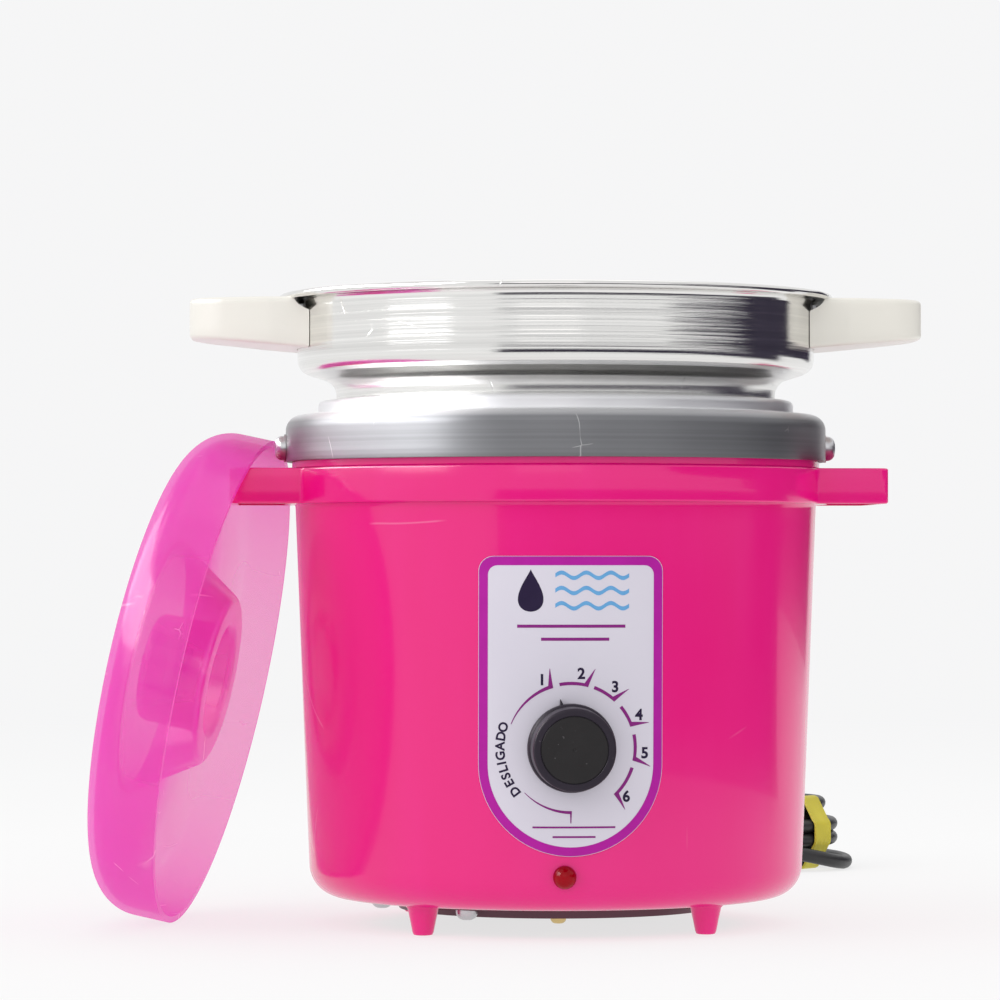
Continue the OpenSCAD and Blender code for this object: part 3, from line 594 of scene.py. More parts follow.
def lugOutline(grow):
    # plan of the band with a carrying lug at each side, anticlockwise from +X
    h = housing
    ringR, half, reach = h["bandRadius"] + grow, h["lugWidth"] / 2 + grow, h["lugReach"] + grow
    corner, fillet = max(h["lugCorner"] + grow, 0.4), max(h["lugFillet"] - grow, 0.4)
    quarter = [(reach, (half - corner) * k / 6) for k in range(6)]
    quarter += arc((reach - corner, half - corner), corner, 0, 90, 7)
    fx, fy = math.sqrt((ringR + fillet) ** 2 - (half + fillet) ** 2), half + fillet
    quarter += [(reach - corner + (fx - reach + corner) * k / 6, half) for k in range(1, 6)]
    toRing = math.degrees(math.atan2(-fy, -fx))
    quarter += arc((fx, fy), fillet, -90, toRing, 6)
    first = math.degrees(math.atan2(fy, fx))
    quarter += arc((0, 0), ringR, first, 90, 26)[1:]
    left = [(-x, y) for x, y in quarter[::-1][1:]]
    upper = quarter + left
    return upper + [(x, -y) for x, y in upper[::-1][1:-1]]


def housingShell():
    h = housing
    low, high, e, inside = h["bandLow"], h["bandHigh"], h["edgeRound"], h["wall"]
    roof = high - inside
    angles = [math.atan2(y, x) for x, y in lugOutline(0)]

    def circle(r, z):
        return [(r * math.cos(a), r * math.sin(a), z) for a in angles]

    def outline(grow, z):
        return [(x, y, z) for x, y in lugOutline(grow)]

    def core(z, inner):
        # the hollow under each lug; columns that have no room for it stay on the band's underside
        row = []
        for (x, y), a in zip(lugOutline(-inside), angles):
            if math.hypot(x, y) > h["coreRadius"] + 0.5 and abs(y) < h["lugWidth"] / 2 - inside + 0.01:
                r = h["coreRadius"]
                row.append((r * math.cos(a), r * math.sin(a), z) if inner else (x, y, z))
            else:
                r = h["topRadius"] + 0.6
                row.append((r * math.cos(a), r * math.sin(a), low))
        return row

    edge = (h["footRadius"] - h["edgeRadius"], h["bottom"] + h["edgeRadius"])
    rows = [circle(h["flangeRadius"], h["bottom"])]
    rows += [circle(r, z) for r, z in arc(edge, h["edgeRadius"], -90, 0, 12)]
    rows += [circle(housingRadius(z), z) for z in (30, 50, 70, 90, 105, 113, 117.6)]
    rows += [circle(h["topRadius"] + grow, z) for grow, z in ((0.05, 118.4), (0.25, 118.85), (0.6, low))]
    rows += [core(low, True), core(roof, True), core(roof, False), core(low, False)]
    turns = [math.radians(t) for t in (0, 30, 60, 90)]
    rows += [outline(-e * (1 - math.sin(t)), low + e * (1 - math.cos(t))) for t in turns]
    rows += [outline(0, low + 4), outline(0, high - 4)]
    rows += [outline(-e * (1 - math.cos(t)), high - e * (1 - math.sin(t))) for t in turns]
    rows += [circle(h["neckRadius"] + 0.25, high), circle(h["neckRadius"], high + 0.3)]
    rows += [circle(h["neckRadius"], h["neckTop"]), circle(h["neckRadius"] - 2, h["neckTop"])]
    rows += [circle(h["neckRadius"] - 2, low + 2)]
    rows += [circle(housingRadius(z) - inside, z) for z in (117, 80, 40, 17)]
    rows += [circle(r, z) for r, z in arc(edge, h["edgeRadius"] - inside, 0, -90, 8)]
    rows += [circle(h["flangeRadius"], h["bottom"] + inside)]
    piece = rings(rows, "housingShell", 30, closed=True)
    return fit(piece, "base", "pink_plastic", hotPink, "housing")


def foot(node, name):
    lo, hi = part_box(node)
    cx, cy = (lo.x + hi.x) / 2 / mm, (lo.y + hi.y) / 2 / mm
    profile = [(0, 0.0), (1.9, 0.0), (2.6, 0.2), (2.95, 0.9), (3.6, 4.2), (4.3, 7.4), (4.9, 8.0),
               (4.9, 8.6), (0, 8.6)]
    piece = turned(name, profile, 48, 40, closed=False)
    place(piece, Matrix.Translation(Vector((cx, cy, 0)) * mm))
    return fit(piece, "base", "pink_plastic", hotPink, node)


housingShell()
for node, name in (("foot_front_left", "footFrontLeft"), ("foot_front_right", "footFrontRight"),
                   ("foot_rear_left", "footRearLeft"), ("foot_rear_right", "footRearRight")):
    foot(node, name)
print("housing made")


well = {
    "radius": 63.5, "floor": 92, "corner": 6, "collarRadius": 76.8, "skirt": 131, "shelf": 144.3,
    "shoulder": 4.4, "beadRadius": 67.6, "beadTop": 148.3, "wall": 1.2,
}


def wellCollar():
    w = well
    top = w["beadTop"] - 1.7
    path = [(0, w["floor"])]
    path += arc((w["radius"] - w["corner"], w["floor"] + w["corner"]), w["corner"], -90, 0, 10)
    path += arc((w["radius"] + 1.7, top), 1.7, 180, 90, 8)
    path += arc((w["beadRadius"] - 1.6, top + 0.1), 1.6, 90, 0, 8)
    path += arc((w["beadRadius"] + 0.7, w["shelf"] + 0.7), 0.7, 180, 270, 4)
    path += arc((w["collarRadius"] - w["shoulder"], w["shelf"] - w["shoulder"]), w["shoulder"], 90, 0, 14)
    path += [(w["collarRadius"], z) for z in (137, 134, w["skirt"] + 0.4)]
    path += [(w["collarRadius"] - 0.12, w["skirt"] + 0.08), (w["collarRadius"] - 0.35, w["skirt"])]
    piece = turned("wellCollar", thick(path, -w["wall"]), 256, 30)
    return fit(piece, "base", "spun_aluminium", collarMetal, "heating_well")


wellCollar()
print("collar made")


pan = {
    "floor": 92.3, "footRadius": 58, "neckRadius": 62.4, "neckHeight": 149.8, "coneTop": 160.1,
    "radius": 73.5, "rimRadius": 78.7, "rim": 178.5, "rimEdge": 1.0, "wall": 1.0,
}


def panShell():
    p = pan
    path = [(0, p["floor"]), (30, p["floor"])]
    path += arc((p["footRadius"] - 6, p["floor"] + 6), 6, -90, 0, 10)
    path += arc((p["neckRadius"] + 4.8, p["neckHeight"]), 4.8, 180, 105, 12)
    path += arc((p["radius"] - 4.5, p["coneTop"]), 4.5, -75, 0, 12)
    path += [(p["radius"], z) for z in (163, 166, 169, 172)]
    path += arc((p["radius"] + 1.6, p["rim"] - 3.6), 1.6, 180, 90, 8)
    path += [(p["rimRadius"] - 2.2, p["rim"] - 1.95)]
    inside = thick(path, p["wall"])[len(path):]          # back down to the middle of the floor
    roll = arc((p["rimRadius"] - p["rimEdge"], p["rim"] - p["rimEdge"]), p["rimEdge"], -95, 150, 18)
    piece = turned("panShell", path + roll + inside, 256, 30)
    return fit(piece, "pan", "pan_aluminium", panMetal, "pan")


handle = {
    "reach": 104, "width": 44, "tip": 19, "corner": 14, "top": 177, "underRoot": 163, "underTip": 165.7,
    "round": 1.3, "gap": 0.15, "notchRadius": 4.3,
}


def panHandle(name, side, node):
    h = handle
    root = pan["radius"] + h["gap"]

    def notchRoot(z):
        # the root steps back under the pan's rim
        drop = h["top"] + 1 - z
        if drop >= h["notchRadius"]:
            return root
        return root + math.sqrt(max(h["notchRadius"] ** 2 - drop ** 2, 0))

    def plan(inset, z):
        half, tipHalf, reach = h["width"] / 2 - inset, h["tip"] - inset, h["reach"] - inset
        corner = h["corner"] - inset * 0.5
        at = notchRoot(z)
        shoulder = h["reach"] - h["corner"] - 6
        start = math.sqrt(at * at - half * half)
        lower = [(start + (shoulder - start) * k / 8, -half) for k in range(8)]
        bend = arc((reach - corner, -tipHalf + corner), corner, -80, 0, 14)
        near = lower + bend
        outer = near + [(x, -y) for x, y in near[::-1][1:]]
        full = math.degrees(math.asin(half / at))
        turns = [math.radians(full - 2 * full * k / 20) for k in range(1, 20)]
        return outer + [(at * math.cos(t), at * math.sin(t)) for t in turns]

    def under(x):
        return h["underRoot"] + (h["underTip"] - h["underRoot"]) * (x - root) / (h["reach"] - root)

    rows = []
    for t in (0, 22, 45, 67, 90):
        inset = h["round"] * (1 - math.sin(math.radians(t)))
        rise = h["round"] * (1 - math.cos(math.radians(t)))
        rows.append([(x, y, under(x) + rise) for x, y in plan(inset, h["underRoot"])])
    for z in (168.5, 171, 172.6, 173.2, 174, 174.9, 175.5):
        rows.append([(x, y, z) for x, y in plan(0, z)])
    for t in (22, 45, 67, 90):
        inset = h["round"] * (1 - math.cos(math.radians(t)))
        z = h["top"] - h["round"] * (1 - math.sin(math.radians(t)))
        rows.append([(x, y, z) for x, y in plan(inset, z)])
    piece = rings([[(side * x, y, z) for x, y, z in row] for row in rows], name, 35, caps=True)
    return fit(piece, "pan", "ivory_plastic", ivory, node)


panShell()
panHandle("handleLeft", -1, "pan_handle_left")
panHandle("handleRight", 1, "pan_handle_right")
print("pan made")


lid = {
    "radius": 70, "depth": 22, "edge": 12, "wall": 1.8, "crater": 35.5, "ring": 23, "ringHeight": 3,
    "hub": 15.6,
}


def lidPlastic():
    f = Finish("tintedLid")
    f.set(**{"IOR": 1.45, "Transmission Weight": 0.0, "Subsurface Weight": 0.0})
    cloud = f.noise(14, 3)
    body = f.mix(cloud, (0.90, 0.07, 0.64), (0.94, 0.10, 0.72))
    marks = f.maths("ADD", f.scratches(20, 0.010, 0.60, 5.2), f.scratches(55, 0.010, 0.66, 2.4))
    body = f.mix(f.maths("MULTIPLY", marks, 0.6), body, (1.0, 0.85, 0.95))
    f.colour(body)
    f.roughness(f.span(f.noise(70, 4, 0.6), 0.16, 0.30))
    f.bump(f.maths("ADD", f.noise(120, 2), f.maths("MULTIPLY", marks, -0.5)), 0.00005, 0.4)
    glow = f.add("ShaderNodeBsdfTranslucent")
    glow.inputs["Color"].default_value = (1.0, 0.14, 0.78, 1)
    milky = f.add("ShaderNodeMixShader")
    milky.inputs[0].default_value = 0.45
    f.join(f.shader.outputs[0], milky.inputs[1])
    f.join(glow.outputs[0], milky.inputs[2])
    clear = f.add("ShaderNodeBsdfTransparent")
    clear.inputs["Color"].default_value = (0.985, 0.87, 0.91, 1)
    facing = f.add("ShaderNodeLayerWeight")
    facing.inputs["Blend"].default_value = 0.30
    share = f.span(facing.outputs["Facing"], 0.30, 0.92)
    share = f.maths("MINIMUM", f.maths("ADD", share, f.maths("MULTIPLY", marks, 0.25)), 1.0)
    both = f.add("ShaderNodeMixShader")
    f.join(share, both.inputs[0])
    f.join(clear.outputs[0], both.inputs[1])
    f.join(milky.outputs[0], both.inputs[2])
    sheen = f.add("ShaderNodeBsdfGlossy")                # the polished skin over the tinted plastic
    f.join(f.span(f.noise(30, 3), 0.06, 0.12), sheen.inputs["Roughness"])
    skin = f.add("ShaderNodeMixShader")
    skin.inputs[0].default_value = 0.018
    f.join(both.outputs[0], skin.inputs[1])
    f.join(sheen.outputs[0], skin.inputs[2])
    f.join(skin.outputs[0], f.output.inputs["Surface"])
    return f.material


def lidShell():
    lidAxis = Vector(next(j for j in frame["joints"] if j["name"] == "lid_lift_off")["axis"])
    d = lid
    path = [(d["radius"], 0), (d["radius"], 5)]
    path += arc((d["radius"] - d["edge"], d["depth"] - d["edge"]), d["edge"], 0, 90, 16)
    path += rounded([(50, d["depth"]), (d["crater"], d["depth"], 1.2), (d["ring"], d["ringHeight"], 1.4),
                     (d["hub"] + 1.2, d["ringHeight"], 0.8), (d["hub"], d["ringHeight"] + 5, 2.0),
                     (d["hub"] - 0.2, d["depth"], 2.4), (0, d["depth"])], 5)
    piece = turned("lidShell", thick(path, d["wall"]), 256, 28)
    place(piece, seatOf("lid", lidAxis))
    return fit(piece, "lid", "lid_plastic", lidPlastic(), "lid")


lidShell()
print("lid made")


knob = {
    "radius": 12, "faceRadius": 10.9, "insertRadius": 8.9, "points": -13,
}


def knobFinish(name, low, high, speck):
    f = Finish(name)
    f.set(IOR=1.30)
    base = f.mix(f.noise(80, 4), low, high)
    dust = f.span(f.noise(1100, 1, 0.5), 0, 1, speck, speck + 0.05)
    f.colour(f.mix(f.maths("MULTIPLY", dust, 0.3), base, (0.20, 0.19, 0.20)))
    f.roughness(f.span(f.noise(300, 4, 0.6), 0.28, 0.5))
    f.bump(f.noise(1600, 2), 0.00004, 0.7)
    return f.material


def knobPieces():
    radius, faceRadius, insert = knob["radius"], knob["faceRadius"], knob["insertRadius"]
    seat = seatOf("knob_cap", (0, -1, 0))
    lo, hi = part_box("knob")
    seat.translation.y = hi.y
    depth = (hi.y - lo.y) / mm
    profile = [(0, 0), (radius - 0.3, 0), (radius, 0.3), (radius - 0.1, 2.4), (radius - 0.35, 2.9),
               (radius - 0.7, 3.1), (faceRadius + 0.25, depth - 0.9)]
    profile += arc((faceRadius - 0.5, depth - 0.7), 0.7, 12, 90, 7)
    profile += [(insert + 0.35, depth), (insert + 0.22, depth - 0.12), (insert + 0.2, depth - 0.45)]
    profile += [(0, depth - 0.45)]
    body = turned("knobBody", profile, 128, 35, closed=False)
    place(body, seat)
    black = knobFinish("knobBlack", (0.016, 0.011, 0.020), (0.028, 0.022, 0.034), 0.78)
    fit(body, "knob", "black_plastic", black, "knob")
    disc = [(0, depth - 0.6), (insert, depth - 0.6), (insert, depth - 0.12), (insert - 0.12, depth),
            (0.5, depth), (0.35, depth - 0.15), (0, depth - 0.2)]
    face = turned("knobFace", disc, 128, 35, closed=False)
    place(face, seat)
    insertBlack = knobFinish("knobInsert", (0.012, 0.011, 0.012), (0.024, 0.022, 0.023), 0.76)
    fit(face, "knob", "knob_face", insertBlack, "knob_cap")
    root, tip = radius - 1.2, radius + 1.45
    wedge = [(-0.85, root, 0), (0.85, root, 0), (0.12, tip, 0), (-0.12, tip, 0),
             (-0.7, root, 2.4), (0.7, root, 2.4), (0.08, tip - 0.25, 1.5), (-0.08, tip - 0.25, 1.5)]
    faces = [(0, 3, 2, 1), (4, 5, 6, 7), (0, 1, 5, 4), (1, 2, 6, 5), (2, 3, 7, 6), (3, 0, 4, 7)]
    pointer = newPiece("knobPointer", wedge, faces, 40)
    up = Matrix((Vector((1, 0, 0)), Vector((0, 0, 1)), Vector((0, -1, 0)))).transposed().to_4x4()
    turn = Matrix.Rotation(math.radians(knob["points"]), 4, "Y")
    place(pointer, Matrix.Translation(seat.translation) @ turn @ up)
    fit(pointer, "knob", "black_plastic", black)


knobPieces()
print("knob made")


label = {
    "width": 49.8, "height": 81, "cornerRadius": 4, "thick": 0.35, "border": 2.4, "margin": 0.1,
    "printLift": 0.02,
}
dial = {
    "numbers": [("1", -23.5, 19.9), ("2", 7.6, 20.1), ("3", 36, 20.2), ("4", 64.6, 20.4), ("5", 94.5, 20.1),
                ("6", 131.5, 20)],                     # digit, bearing, radius
    "arcs": [(-68.4, -16.8), (-10.7, 15.3), (20.6, 43), (50.5, 70.7), (78.2, 101.8), (108, 137.2)],
    "lowArc": (226, 179.5),
    "arcRadius": 17.4, "tick": 5.2,
    "offWord": "DESLIGADO",
    "offAngles": (-128, -120, -113.6, -107.6, -102.6, -96.4, -88.6, -80.6, -73), "offRadius": 19,
    "digitSize": 4.1, "offSize": 3.4,
}
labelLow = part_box("label")[0].z / mm
dialCentre = (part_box("knob_cap")[0].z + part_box("knob_cap")[1].z) / 2 / mm


def onLabel(x, z, lift):
    r = housingRadius(z) + label["thick"] + lift
    return (x, -math.sqrt(r * r - x * x), z)


def labelOutline(inset, steps=16):
    half, low, high = label["width"] / 2 - inset, labelLow + inset, labelLow + label["height"] - inset
    corner = max(label["cornerRadius"] - inset * 0.6, 0.5)
    path = arc((0, low + half), half, 180, 360, steps * 3)
    path += [(half, low + half + (high - corner - low - half) * k / 14) for k in range(1, 14)]
    path += arc((half - corner, high - corner), corner, 0, 90, 6)
    path += [(half - corner - (2 * (half - corner)) * k / 16, high) for k in range(1, 16)]
    path += arc((-half + corner, high - corner), corner, 90, 180, 6)
    path += [(-half, high - corner - (high - corner - low - half) * k / 14) for k in range(1, 14)]
    return path


def labelFilm():
    # rows of points across the label, back and front
    columns = 24
    rows = []
    low, high, half, corner = labelLow, labelLow + label["height"], label["width"] / 2, label["cornerRadius"]
    heights = [low + half * (1 - math.cos(math.radians(90 * k / 24))) for k in range(24)]
    heights += [low + half + (high - corner - low - half) * k / 20 for k in range(20)]
    heights += [high - corner * (1 - math.sin(math.radians(90 * k / 10))) for k in range(11)]
    for z in heights:
        if z < low + half:
            w = math.sqrt(max(half ** 2 - (low + half - z) ** 2, 0.0004))
        elif z > high - corner:
            w = half - corner + math.sqrt(max(corner ** 2 - (z - high + corner) ** 2, 0))
        else:
            w = half
        front = [onLabel(-w + 2 * w * k / columns, z, 0) for k in range(columns + 1)]
        back = [onLabel(w - 2 * w * k / columns, z, 0.03 - label["thick"]) for k in range(columns + 1)]
        rows.append(front + back)
    film = rings(rows, "labelFilm", 40, caps=True)
    f = Finish("lilacFilm")
    f.set(IOR=1.48)
    f.colour(f.mix(f.noise(40, 4), (0.640, 0.610, 0.700), (0.700, 0.670, 0.750)))
    f.roughness(f.span(f.noise(90, 3), 0.30, 0.42))
    f.bump(f.noise(420, 3), 0.00002, 0.5)
    return fit(film, "base", "label_film", f.material, "label")


def inkFinish(name, low, high):
    f = Finish(name)
    f.set(IOR=1.32)
    f.colour(f.mix(f.noise(220, 4, 0.6), low, high))
    f.roughness(f.span(f.noise(300, 3), 0.28, 0.42))
    f.bump(f.noise(900, 2), 0.00001, 0.4)
    return f.material


def printed(name, flatPoints, faces, ink):
    # flat (x, z) points laid on the curved label; ink has a little thickness so that its edges close
    count = len(flatPoints)
    top = [onLabel(x, z, label["printLift"] + 0.02) for x, z in flatPoints]
    foot = [onLabel(x, z, label["printLift"] - 0.03) for x, z in flatPoints]
    edges = {}
    for face in faces:
        for a, b in zip(face, face[1:] + face[:1]):
            edges[(a, b)] = True
    walls = [(a, b, b + count, a + count) for a, b in edges if (b, a) not in edges]
    back = [tuple(v + count for v in face[::-1]) for face in faces]
    piece = newPiece(name, top + foot, [tuple(face) for face in faces] + back + walls, 40)
    return fit(piece, "base", "label_film", ink)


def ribbon(inner, outer, closed):
    # faces between two lines of points
    n = len(inner)
    faces = []
    for k in range(n if closed else n - 1):
        m = (k + 1) % n
        faces.append([k, m, n + m, n + k])
    return inner + outer, faces


def labelPrint():
    purple = inkFinish("purpleInk", (0.38, 0.002, 0.28), (0.47, 0.006, 0.36))
    plum = inkFinish("plumInk", (0.20, 0.010, 0.17), (0.27, 0.016, 0.23))
    night = inkFinish("nightInk", (0.010, 0.004, 0.028), (0.022, 0.010, 0.050))
    sky = inkFinish("skyInk", (0.10, 0.32, 0.62), (0.16, 0.42, 0.72))
    outside, inside = labelOutline(label["margin"]), labelOutline(label["margin"] + label["border"])
    points, faces = ribbon(outside, inside, True)
    printed("labelBorder", points, faces, purple)
    points, faces = [], []

    def addStrip(inner, outer):
        newPoints, newFaces = ribbon(inner, outer, False)
        faces.extend([[v + len(points) for v in face] for face in newFaces])
        points.extend(newPoints)

    def at(angle, r):
        a = math.radians(angle)
        return (r * math.sin(a), dialCentre + r * math.cos(a))

    arcR = dial["arcRadius"]
    for number, (start, end) in enumerate(dial["arcs"]):
        inner, outer = [], []
        for k in range(17):
            a = start + (end - start) * k / 16
            half = (0.10 + 0.42 * k / 16) if number == 0 else (0.46 - 0.04 * k / 16)
            inner.append(at(a, arcR - half))
            outer.append(at(a, arcR + half))
        addStrip(outer, inner)
        inner, outer = [], []
        for k in range(7):
            r = arcR - 0.4 + dial["tick"] * k / 6
            wide = 1.35 * (1 - k / 6) + 0.12
            a = end + 1.7 * k / 6
            inner.append(at(a - wide / r * 57.3, r))
            outer.append(at(a, r))
        addStrip(inner, outer)
    inner, outer = [], []
    start, end = dial["lowArc"]
    for k in range(17):
        a = start + (end - start) * k / 16
        half = 0.08 + 0.34 * k / 16
        inner.append(at(a, arcR - half))
        outer.append(at(a, arcR + half))
    addStrip(inner, outer)
    foot, tip = arcR - 0.3, arcR + 2.9
    addStrip([at(end + 1.6, foot), at(end + 1.1, tip)], [at(end - 0.2, foot), at(end + 0.4, tip)])
    printed("dialArcs", points, faces, plum)

    def lettering(text, size, spots):
        # every letter is laid out flat, then turned and moved to its spot (x, z, turn)
        for letter, (x, z, turnBy) in zip(text, spots):
            data = bpy.data.curves.new("letter", "FONT")
            data.body, data.align_x, data.align_y = letter, "CENTER", "CENTER"
            data.resolution_u = 4
            data.offset = 0.032
            spare = bpy.data.objects.new("letter", data)
            bpy.context.scene.collection.objects.link(spare)
            bpy.context.view_layer.update()
            flat = spare.evaluated_get(bpy.context.evaluated_depsgraph_get()).to_mesh()
            c, s = math.cos(math.radians(turnBy)), math.sin(math.radians(turnBy))
            first = len(letters)
            for v in flat.vertices:
                u, w = v.co.x * size, v.co.y * size
                letters.append((x + u * c + w * s, z - u * s + w * c))
            letterFaces.extend([[first + i for i in poly.vertices] for poly in flat.polygons])
            spare.to_mesh_clear()
            bpy.data.objects.remove(spare)
            bpy.data.curves.remove(data)

    letters, letterFaces = [], []
    numbers = dial["numbers"]
    lettering([n for n, a, r in numbers], dial["digitSize"], [(*at(a, r), 0) for n, a, r in numbers])
    lettering(dial["offWord"], dial["offSize"], [(*at(a, dial["offRadius"]), a) for a in dial["offAngles"]])
    printed("dialLetters", letters, letterFaces, night)

    # a plain mark, a drop of wax beside three waves of heat, and plain rules where wording would go
    mark = {"x": -11, "z": 95, "wide": 4.8, "high": 5.7, "waveFrom": -4.4, "waveTo": 15.6, "waveStep": 4.1}
    drop = []
    for k in range(40):
        t = math.tau * k / 40
        drop.append((mark["x"] + mark["wide"] * math.sin(t) * math.sin(t / 2) ** 1.4,
                     mark["z"] + mark["high"] * math.cos(t)))
    count = len(drop)
    fan = [[k, (k + 1) % count, count] for k in range(count)]
    printed("markDrop", drop + [(mark["x"], mark["z"] - 1.3)], fan, night)
    points, faces = [], []
    for row in (1, 0, -1):
        inner, outer = [], []
        for k in range(37):
            x = mark["waveFrom"] + (mark["waveTo"] - mark["waveFrom"]) * k / 36
            z = mark["z"] + mark["waveStep"] * row + 0.75 * math.sin(math.tau * k / 12)
            inner.append((x, z - 0.55))
            outer.append((x, z + 0.55))
        addStrip(outer, inner)
    printed("markWaves", points, faces, sky)
    points, faces = [], []
    for z, half, middle in ((85.4, 14.6, 0), (81.9, 9.2, 1.0), (31.2, 11.2, 0.8), (28.6, 5.8, 0.8)):
        tall = 0.42 if z > 50 else 0.26
        line = [middle - half + 2 * half * k / 12 for k in range(13)]
        addStrip([(x, z + tall) for x in line], [(x, z - tall) for x in line])
    printed("plainRules", points, faces, plum)


labelFilm()
labelPrint()
print("label made")


def lampLens():
    seat = seatOf("lamp_lens", (0, -1, 0))
    lo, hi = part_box("lamp_lens")
    depth = (hi.y - lo.y) / mm
    dome = [(2.8, 0), (2.8, depth - 3.3), (3.2, depth - 3.3)] + arc((0, depth - 3.2), 3.2, 0, 90, 12)
    lens = turned("lampLens", [(0, 0)] + dome, 64, 40, closed=False)
    place(lens, seat)
    f = Finish("redLens")
    # painted glow: a faint red emission stands in for the highlight inside the lens
    f.set(**{"IOR": 1.25, "Emission Strength": 0.05})
    f.shader.inputs["Emission Color"].default_value = (0.8, 0.0, 0.01, 1)
    f.colour(f.mix(f.noise(260, 3), (0.16, 0.0, 0.003), (0.34, 0.0, 0.008)))
    f.roughness(f.span(f.noise(400, 3), 0.05, 0.14))
    f.bump(f.noise(500, 2), 0.00003, 0.4)
    return fit(lens, "base", "red_lens", f.material, "lamp_lens")


lampLens()


# the CAD pieces that keep their shape
kept = [
    (coverPaint, "bottom_cover"),
    (brass, "earth_stud"),
    (creamPlastic, "terminal_block"),
    (blackPlastic, "cord_clamp"),
    (sleeving, "wiring"),
    (mica, "heater_band"),
    (glassFelt, "insulation_blanket"),
    (millFinish, "heat_shield"),
    (copper, "sensor_bulb"),
    (neonGlass, "lamp_body"),
    (plugMetal, "plug_pins"),
    (platedSteel, "thermal_fuse thermostat_body"),
    (zinc, "bottom_cover_screws collar_screw_left collar_screw_right collar_washer_left collar_washer_right"),
    (zinc, "heater_band_screw heat_shield_nut sensor_clip thermostat_screws thermostat_shaft"),
    (zinc, "handle_bracket_left handle_bracket_right handle_rivets_left handle_rivets_right"),
    (zinc, "handle_screw_left handle_screw_right"),
]
for material, nodes in kept:
    for node in nodes.split():
        mesh = frame["nodes"][node].data
        mesh.materials.clear()
        mesh.materials.append(material)
print("kept pieces dressed")


studio = {
    "cloth": ((0.022, 0.018, 0.032), (0.060, 0.052, 0.080)),
    "card": ((1, 0.99, 0.97), (1, 1, 1), 9.0),
    "screenRadius": 1.9,
    # the dark screen's near edge slants across eye level, so that the lathe marks break it into streaks
    "sideEdge": [(-0.02, 96), (0.10, 88), (0.18, 79), (0.26, 62), (0.34, 51), (0.45, 46), (0.75, 42)],
    "backdrop": 0.925,
    "key": (8, (-1.75, -0.8, 1.0), 1.2, (0.99, 0.98, 1.0)),
    "fill": (1.5, (-0.2, -1.9, 0.9), 1.0, (1.0, 0.97, 0.95)),
    "top": (3, (0.1, 0.3, 1.9), 1.4, (1, 1, 1)),
}


def areaLamp(name, power, spot, size, colour, target=(0, 0, 0.09)):
    data = bpy.data.lights.new(name, "AREA")
    data.energy, data.size, data.color = power, size, colour
    lamp = bpy.data.objects.new(name, data)
    bpy.context.scene.collection.objects.link(lamp)
    lamp.location = spot
    lamp.rotation_euler = (Vector(target) - Vector(spot)).to_track_quat("-Z", "Y").to_euler()
    return lamp


def paleFloor():
    mesh = bpy.data.meshes.new("floor")
    size = 9
    corners = [(-size, -size, 0), (size, -size, 0), (size, size, 0), (-size, size, 0)]
    mesh.from_pydata(corners, [], [(0, 1, 2, 3)])
    floor = bpy.data.objects.new("floor", mesh)
    bpy.context.scene.collection.objects.link(floor)
    f = Finish("paleFloor")
    f.colour(f.mix(f.noise(3, 2), (0.22, 0.22, 0.22), (0.24, 0.24, 0.24)))
    f.set(**{"Roughness": 0.8, "Specular IOR Level": 0.0, "Emission Strength": 0.72})
    f.shader.inputs["Emission Color"].default_value = (1, 1, 1, 1)
    far = f.add("ShaderNodeVectorMath", operation="LENGTH")     # far out the floor fades into the backdrop
    f.join(f.where, far.inputs[0])
    plain = f.add("ShaderNodeEmission")
    plain.inputs[0].default_value = (0.995, 0.995, 1.0, 1)
    plain.inputs[1].default_value = studio["backdrop"]
    fade = f.add("ShaderNodeMixShader")
    f.join(f.span(far.outputs["Value"], 0, 1, 0.45, 1.6), fade.inputs[0])
    f.join(f.shader.outputs[0], fade.inputs[1])
    f.join(plain.outputs[0], fade.inputs[2])
    f.join(fade.outputs[0], f.output.inputs["Surface"])
    mesh.materials.append(f.material)


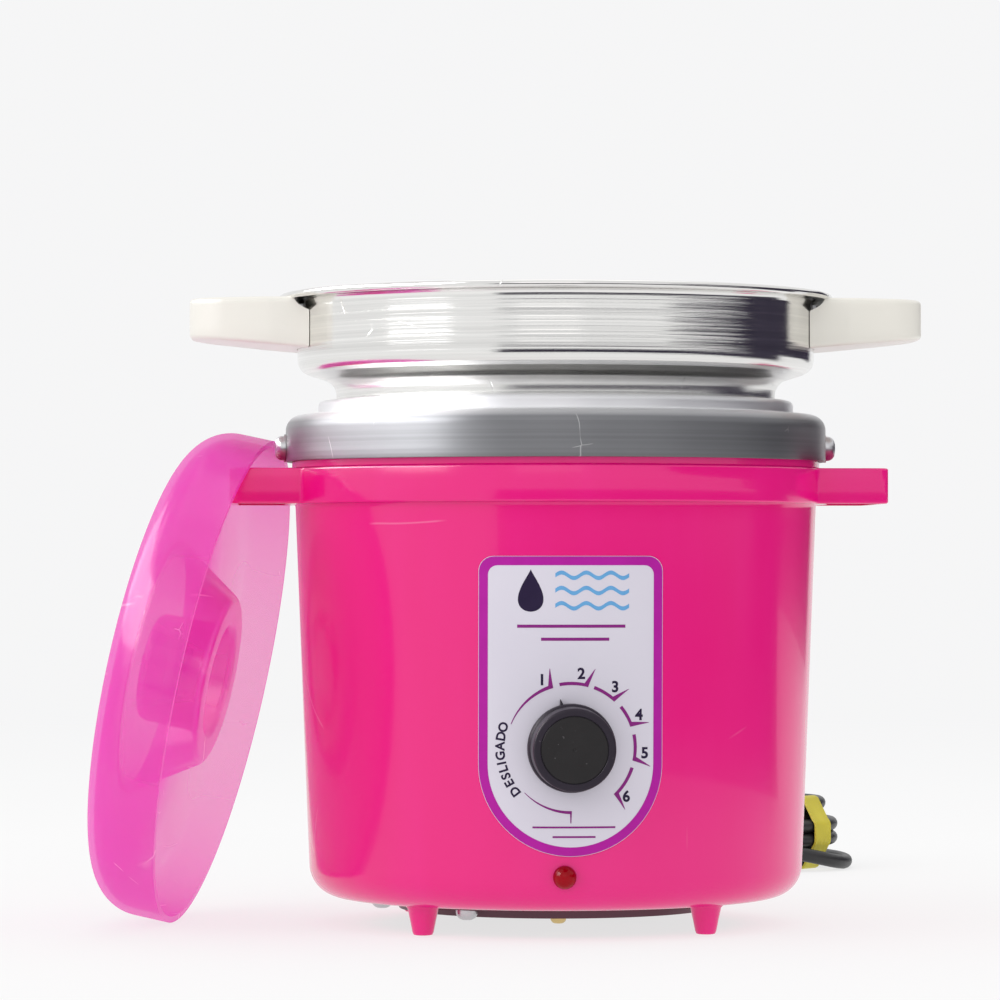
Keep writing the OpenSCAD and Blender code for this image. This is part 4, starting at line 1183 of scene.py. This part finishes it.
def screen(name, points, faces, low, high, strength=1.0):
    # a cloth or card that is seen only in reflections
    mesh = bpy.data.meshes.new(name)
    mesh.from_pydata(points, [], faces)
    cloth = bpy.data.objects.new(name, mesh)
    bpy.context.scene.collection.objects.link(cloth)
    cloth.visible_camera = False
    cloth.visible_shadow = False
    cloth.visible_diffuse = False
    cloth.visible_transmission = False
    f = Finish(name)
    glow = f.add("ShaderNodeEmission")
    glow.inputs[1].default_value = strength
    f.join(f.mix(f.noise(2, 2), low, high), glow.inputs[0])
    f.join(glow.outputs[0], f.output.inputs["Surface"])
    mesh.materials.append(f.material)


def standingScreen(name, radius, edge, to, low, high, strength=1.0):
    # edge lists (height, bearing) up its near side, to is the bearing of its far side
    points, faces = [], []
    columns = 24
    for z, start in edge:
        for k in range(columns + 1):
            a = math.radians(start + (to - start) * k / columns)
            points.append((radius * math.sin(a), -radius * math.cos(a), z))
    for level in range(len(edge) - 1):
        for k in range(columns):
            n = level * (columns + 1) + k
            faces.append((n, n + 1, n + columns + 2, n + columns + 1))
    screen(name, points, faces, low, high, strength)


def floorScreen():
    # a dark cloth on the table in front, low and to the right
    plan = {"inner": 0.42, "outer": 2.6, "from": -28, "to": 112, "height": 0.003}
    points, faces = [], []
    columns = 28
    for r in (plan["inner"], plan["outer"]):
        for k in range(columns + 1):
            a = math.radians(plan["from"] + (plan["to"] - plan["from"]) * k / columns)
            points.append((r * math.sin(a), -r * math.cos(a), plan["height"]))
    for k in range(columns):
        faces.append((k, k + 1, columns + k + 2, columns + k + 1))
    screen("floorScreen", points, faces, *studio["cloth"])


world = bpy.data.worlds.new("studio")
world.use_nodes = True
world.node_tree.nodes["Background"].inputs[0].default_value = (0.995, 0.995, 1.0, 1)
world.node_tree.nodes["Background"].inputs[1].default_value = studio["backdrop"]
bpy.context.scene.world = world
bpy.context.scene.view_settings.view_transform = "Standard"
paleFloor()
for name in ("key", "fill", "top"):
    power, spot, size, colour = studio[name]
    areaLamp(name, power, spot, size, colour)
standingScreen("sideScreen", studio["screenRadius"], studio["sideEdge"], 150, *studio["cloth"])
standingScreen("leftCard", studio["screenRadius"], [(0.62, -52), (1.8, -52)], -132, *studio["card"])
floorScreen()
print("studio lit")
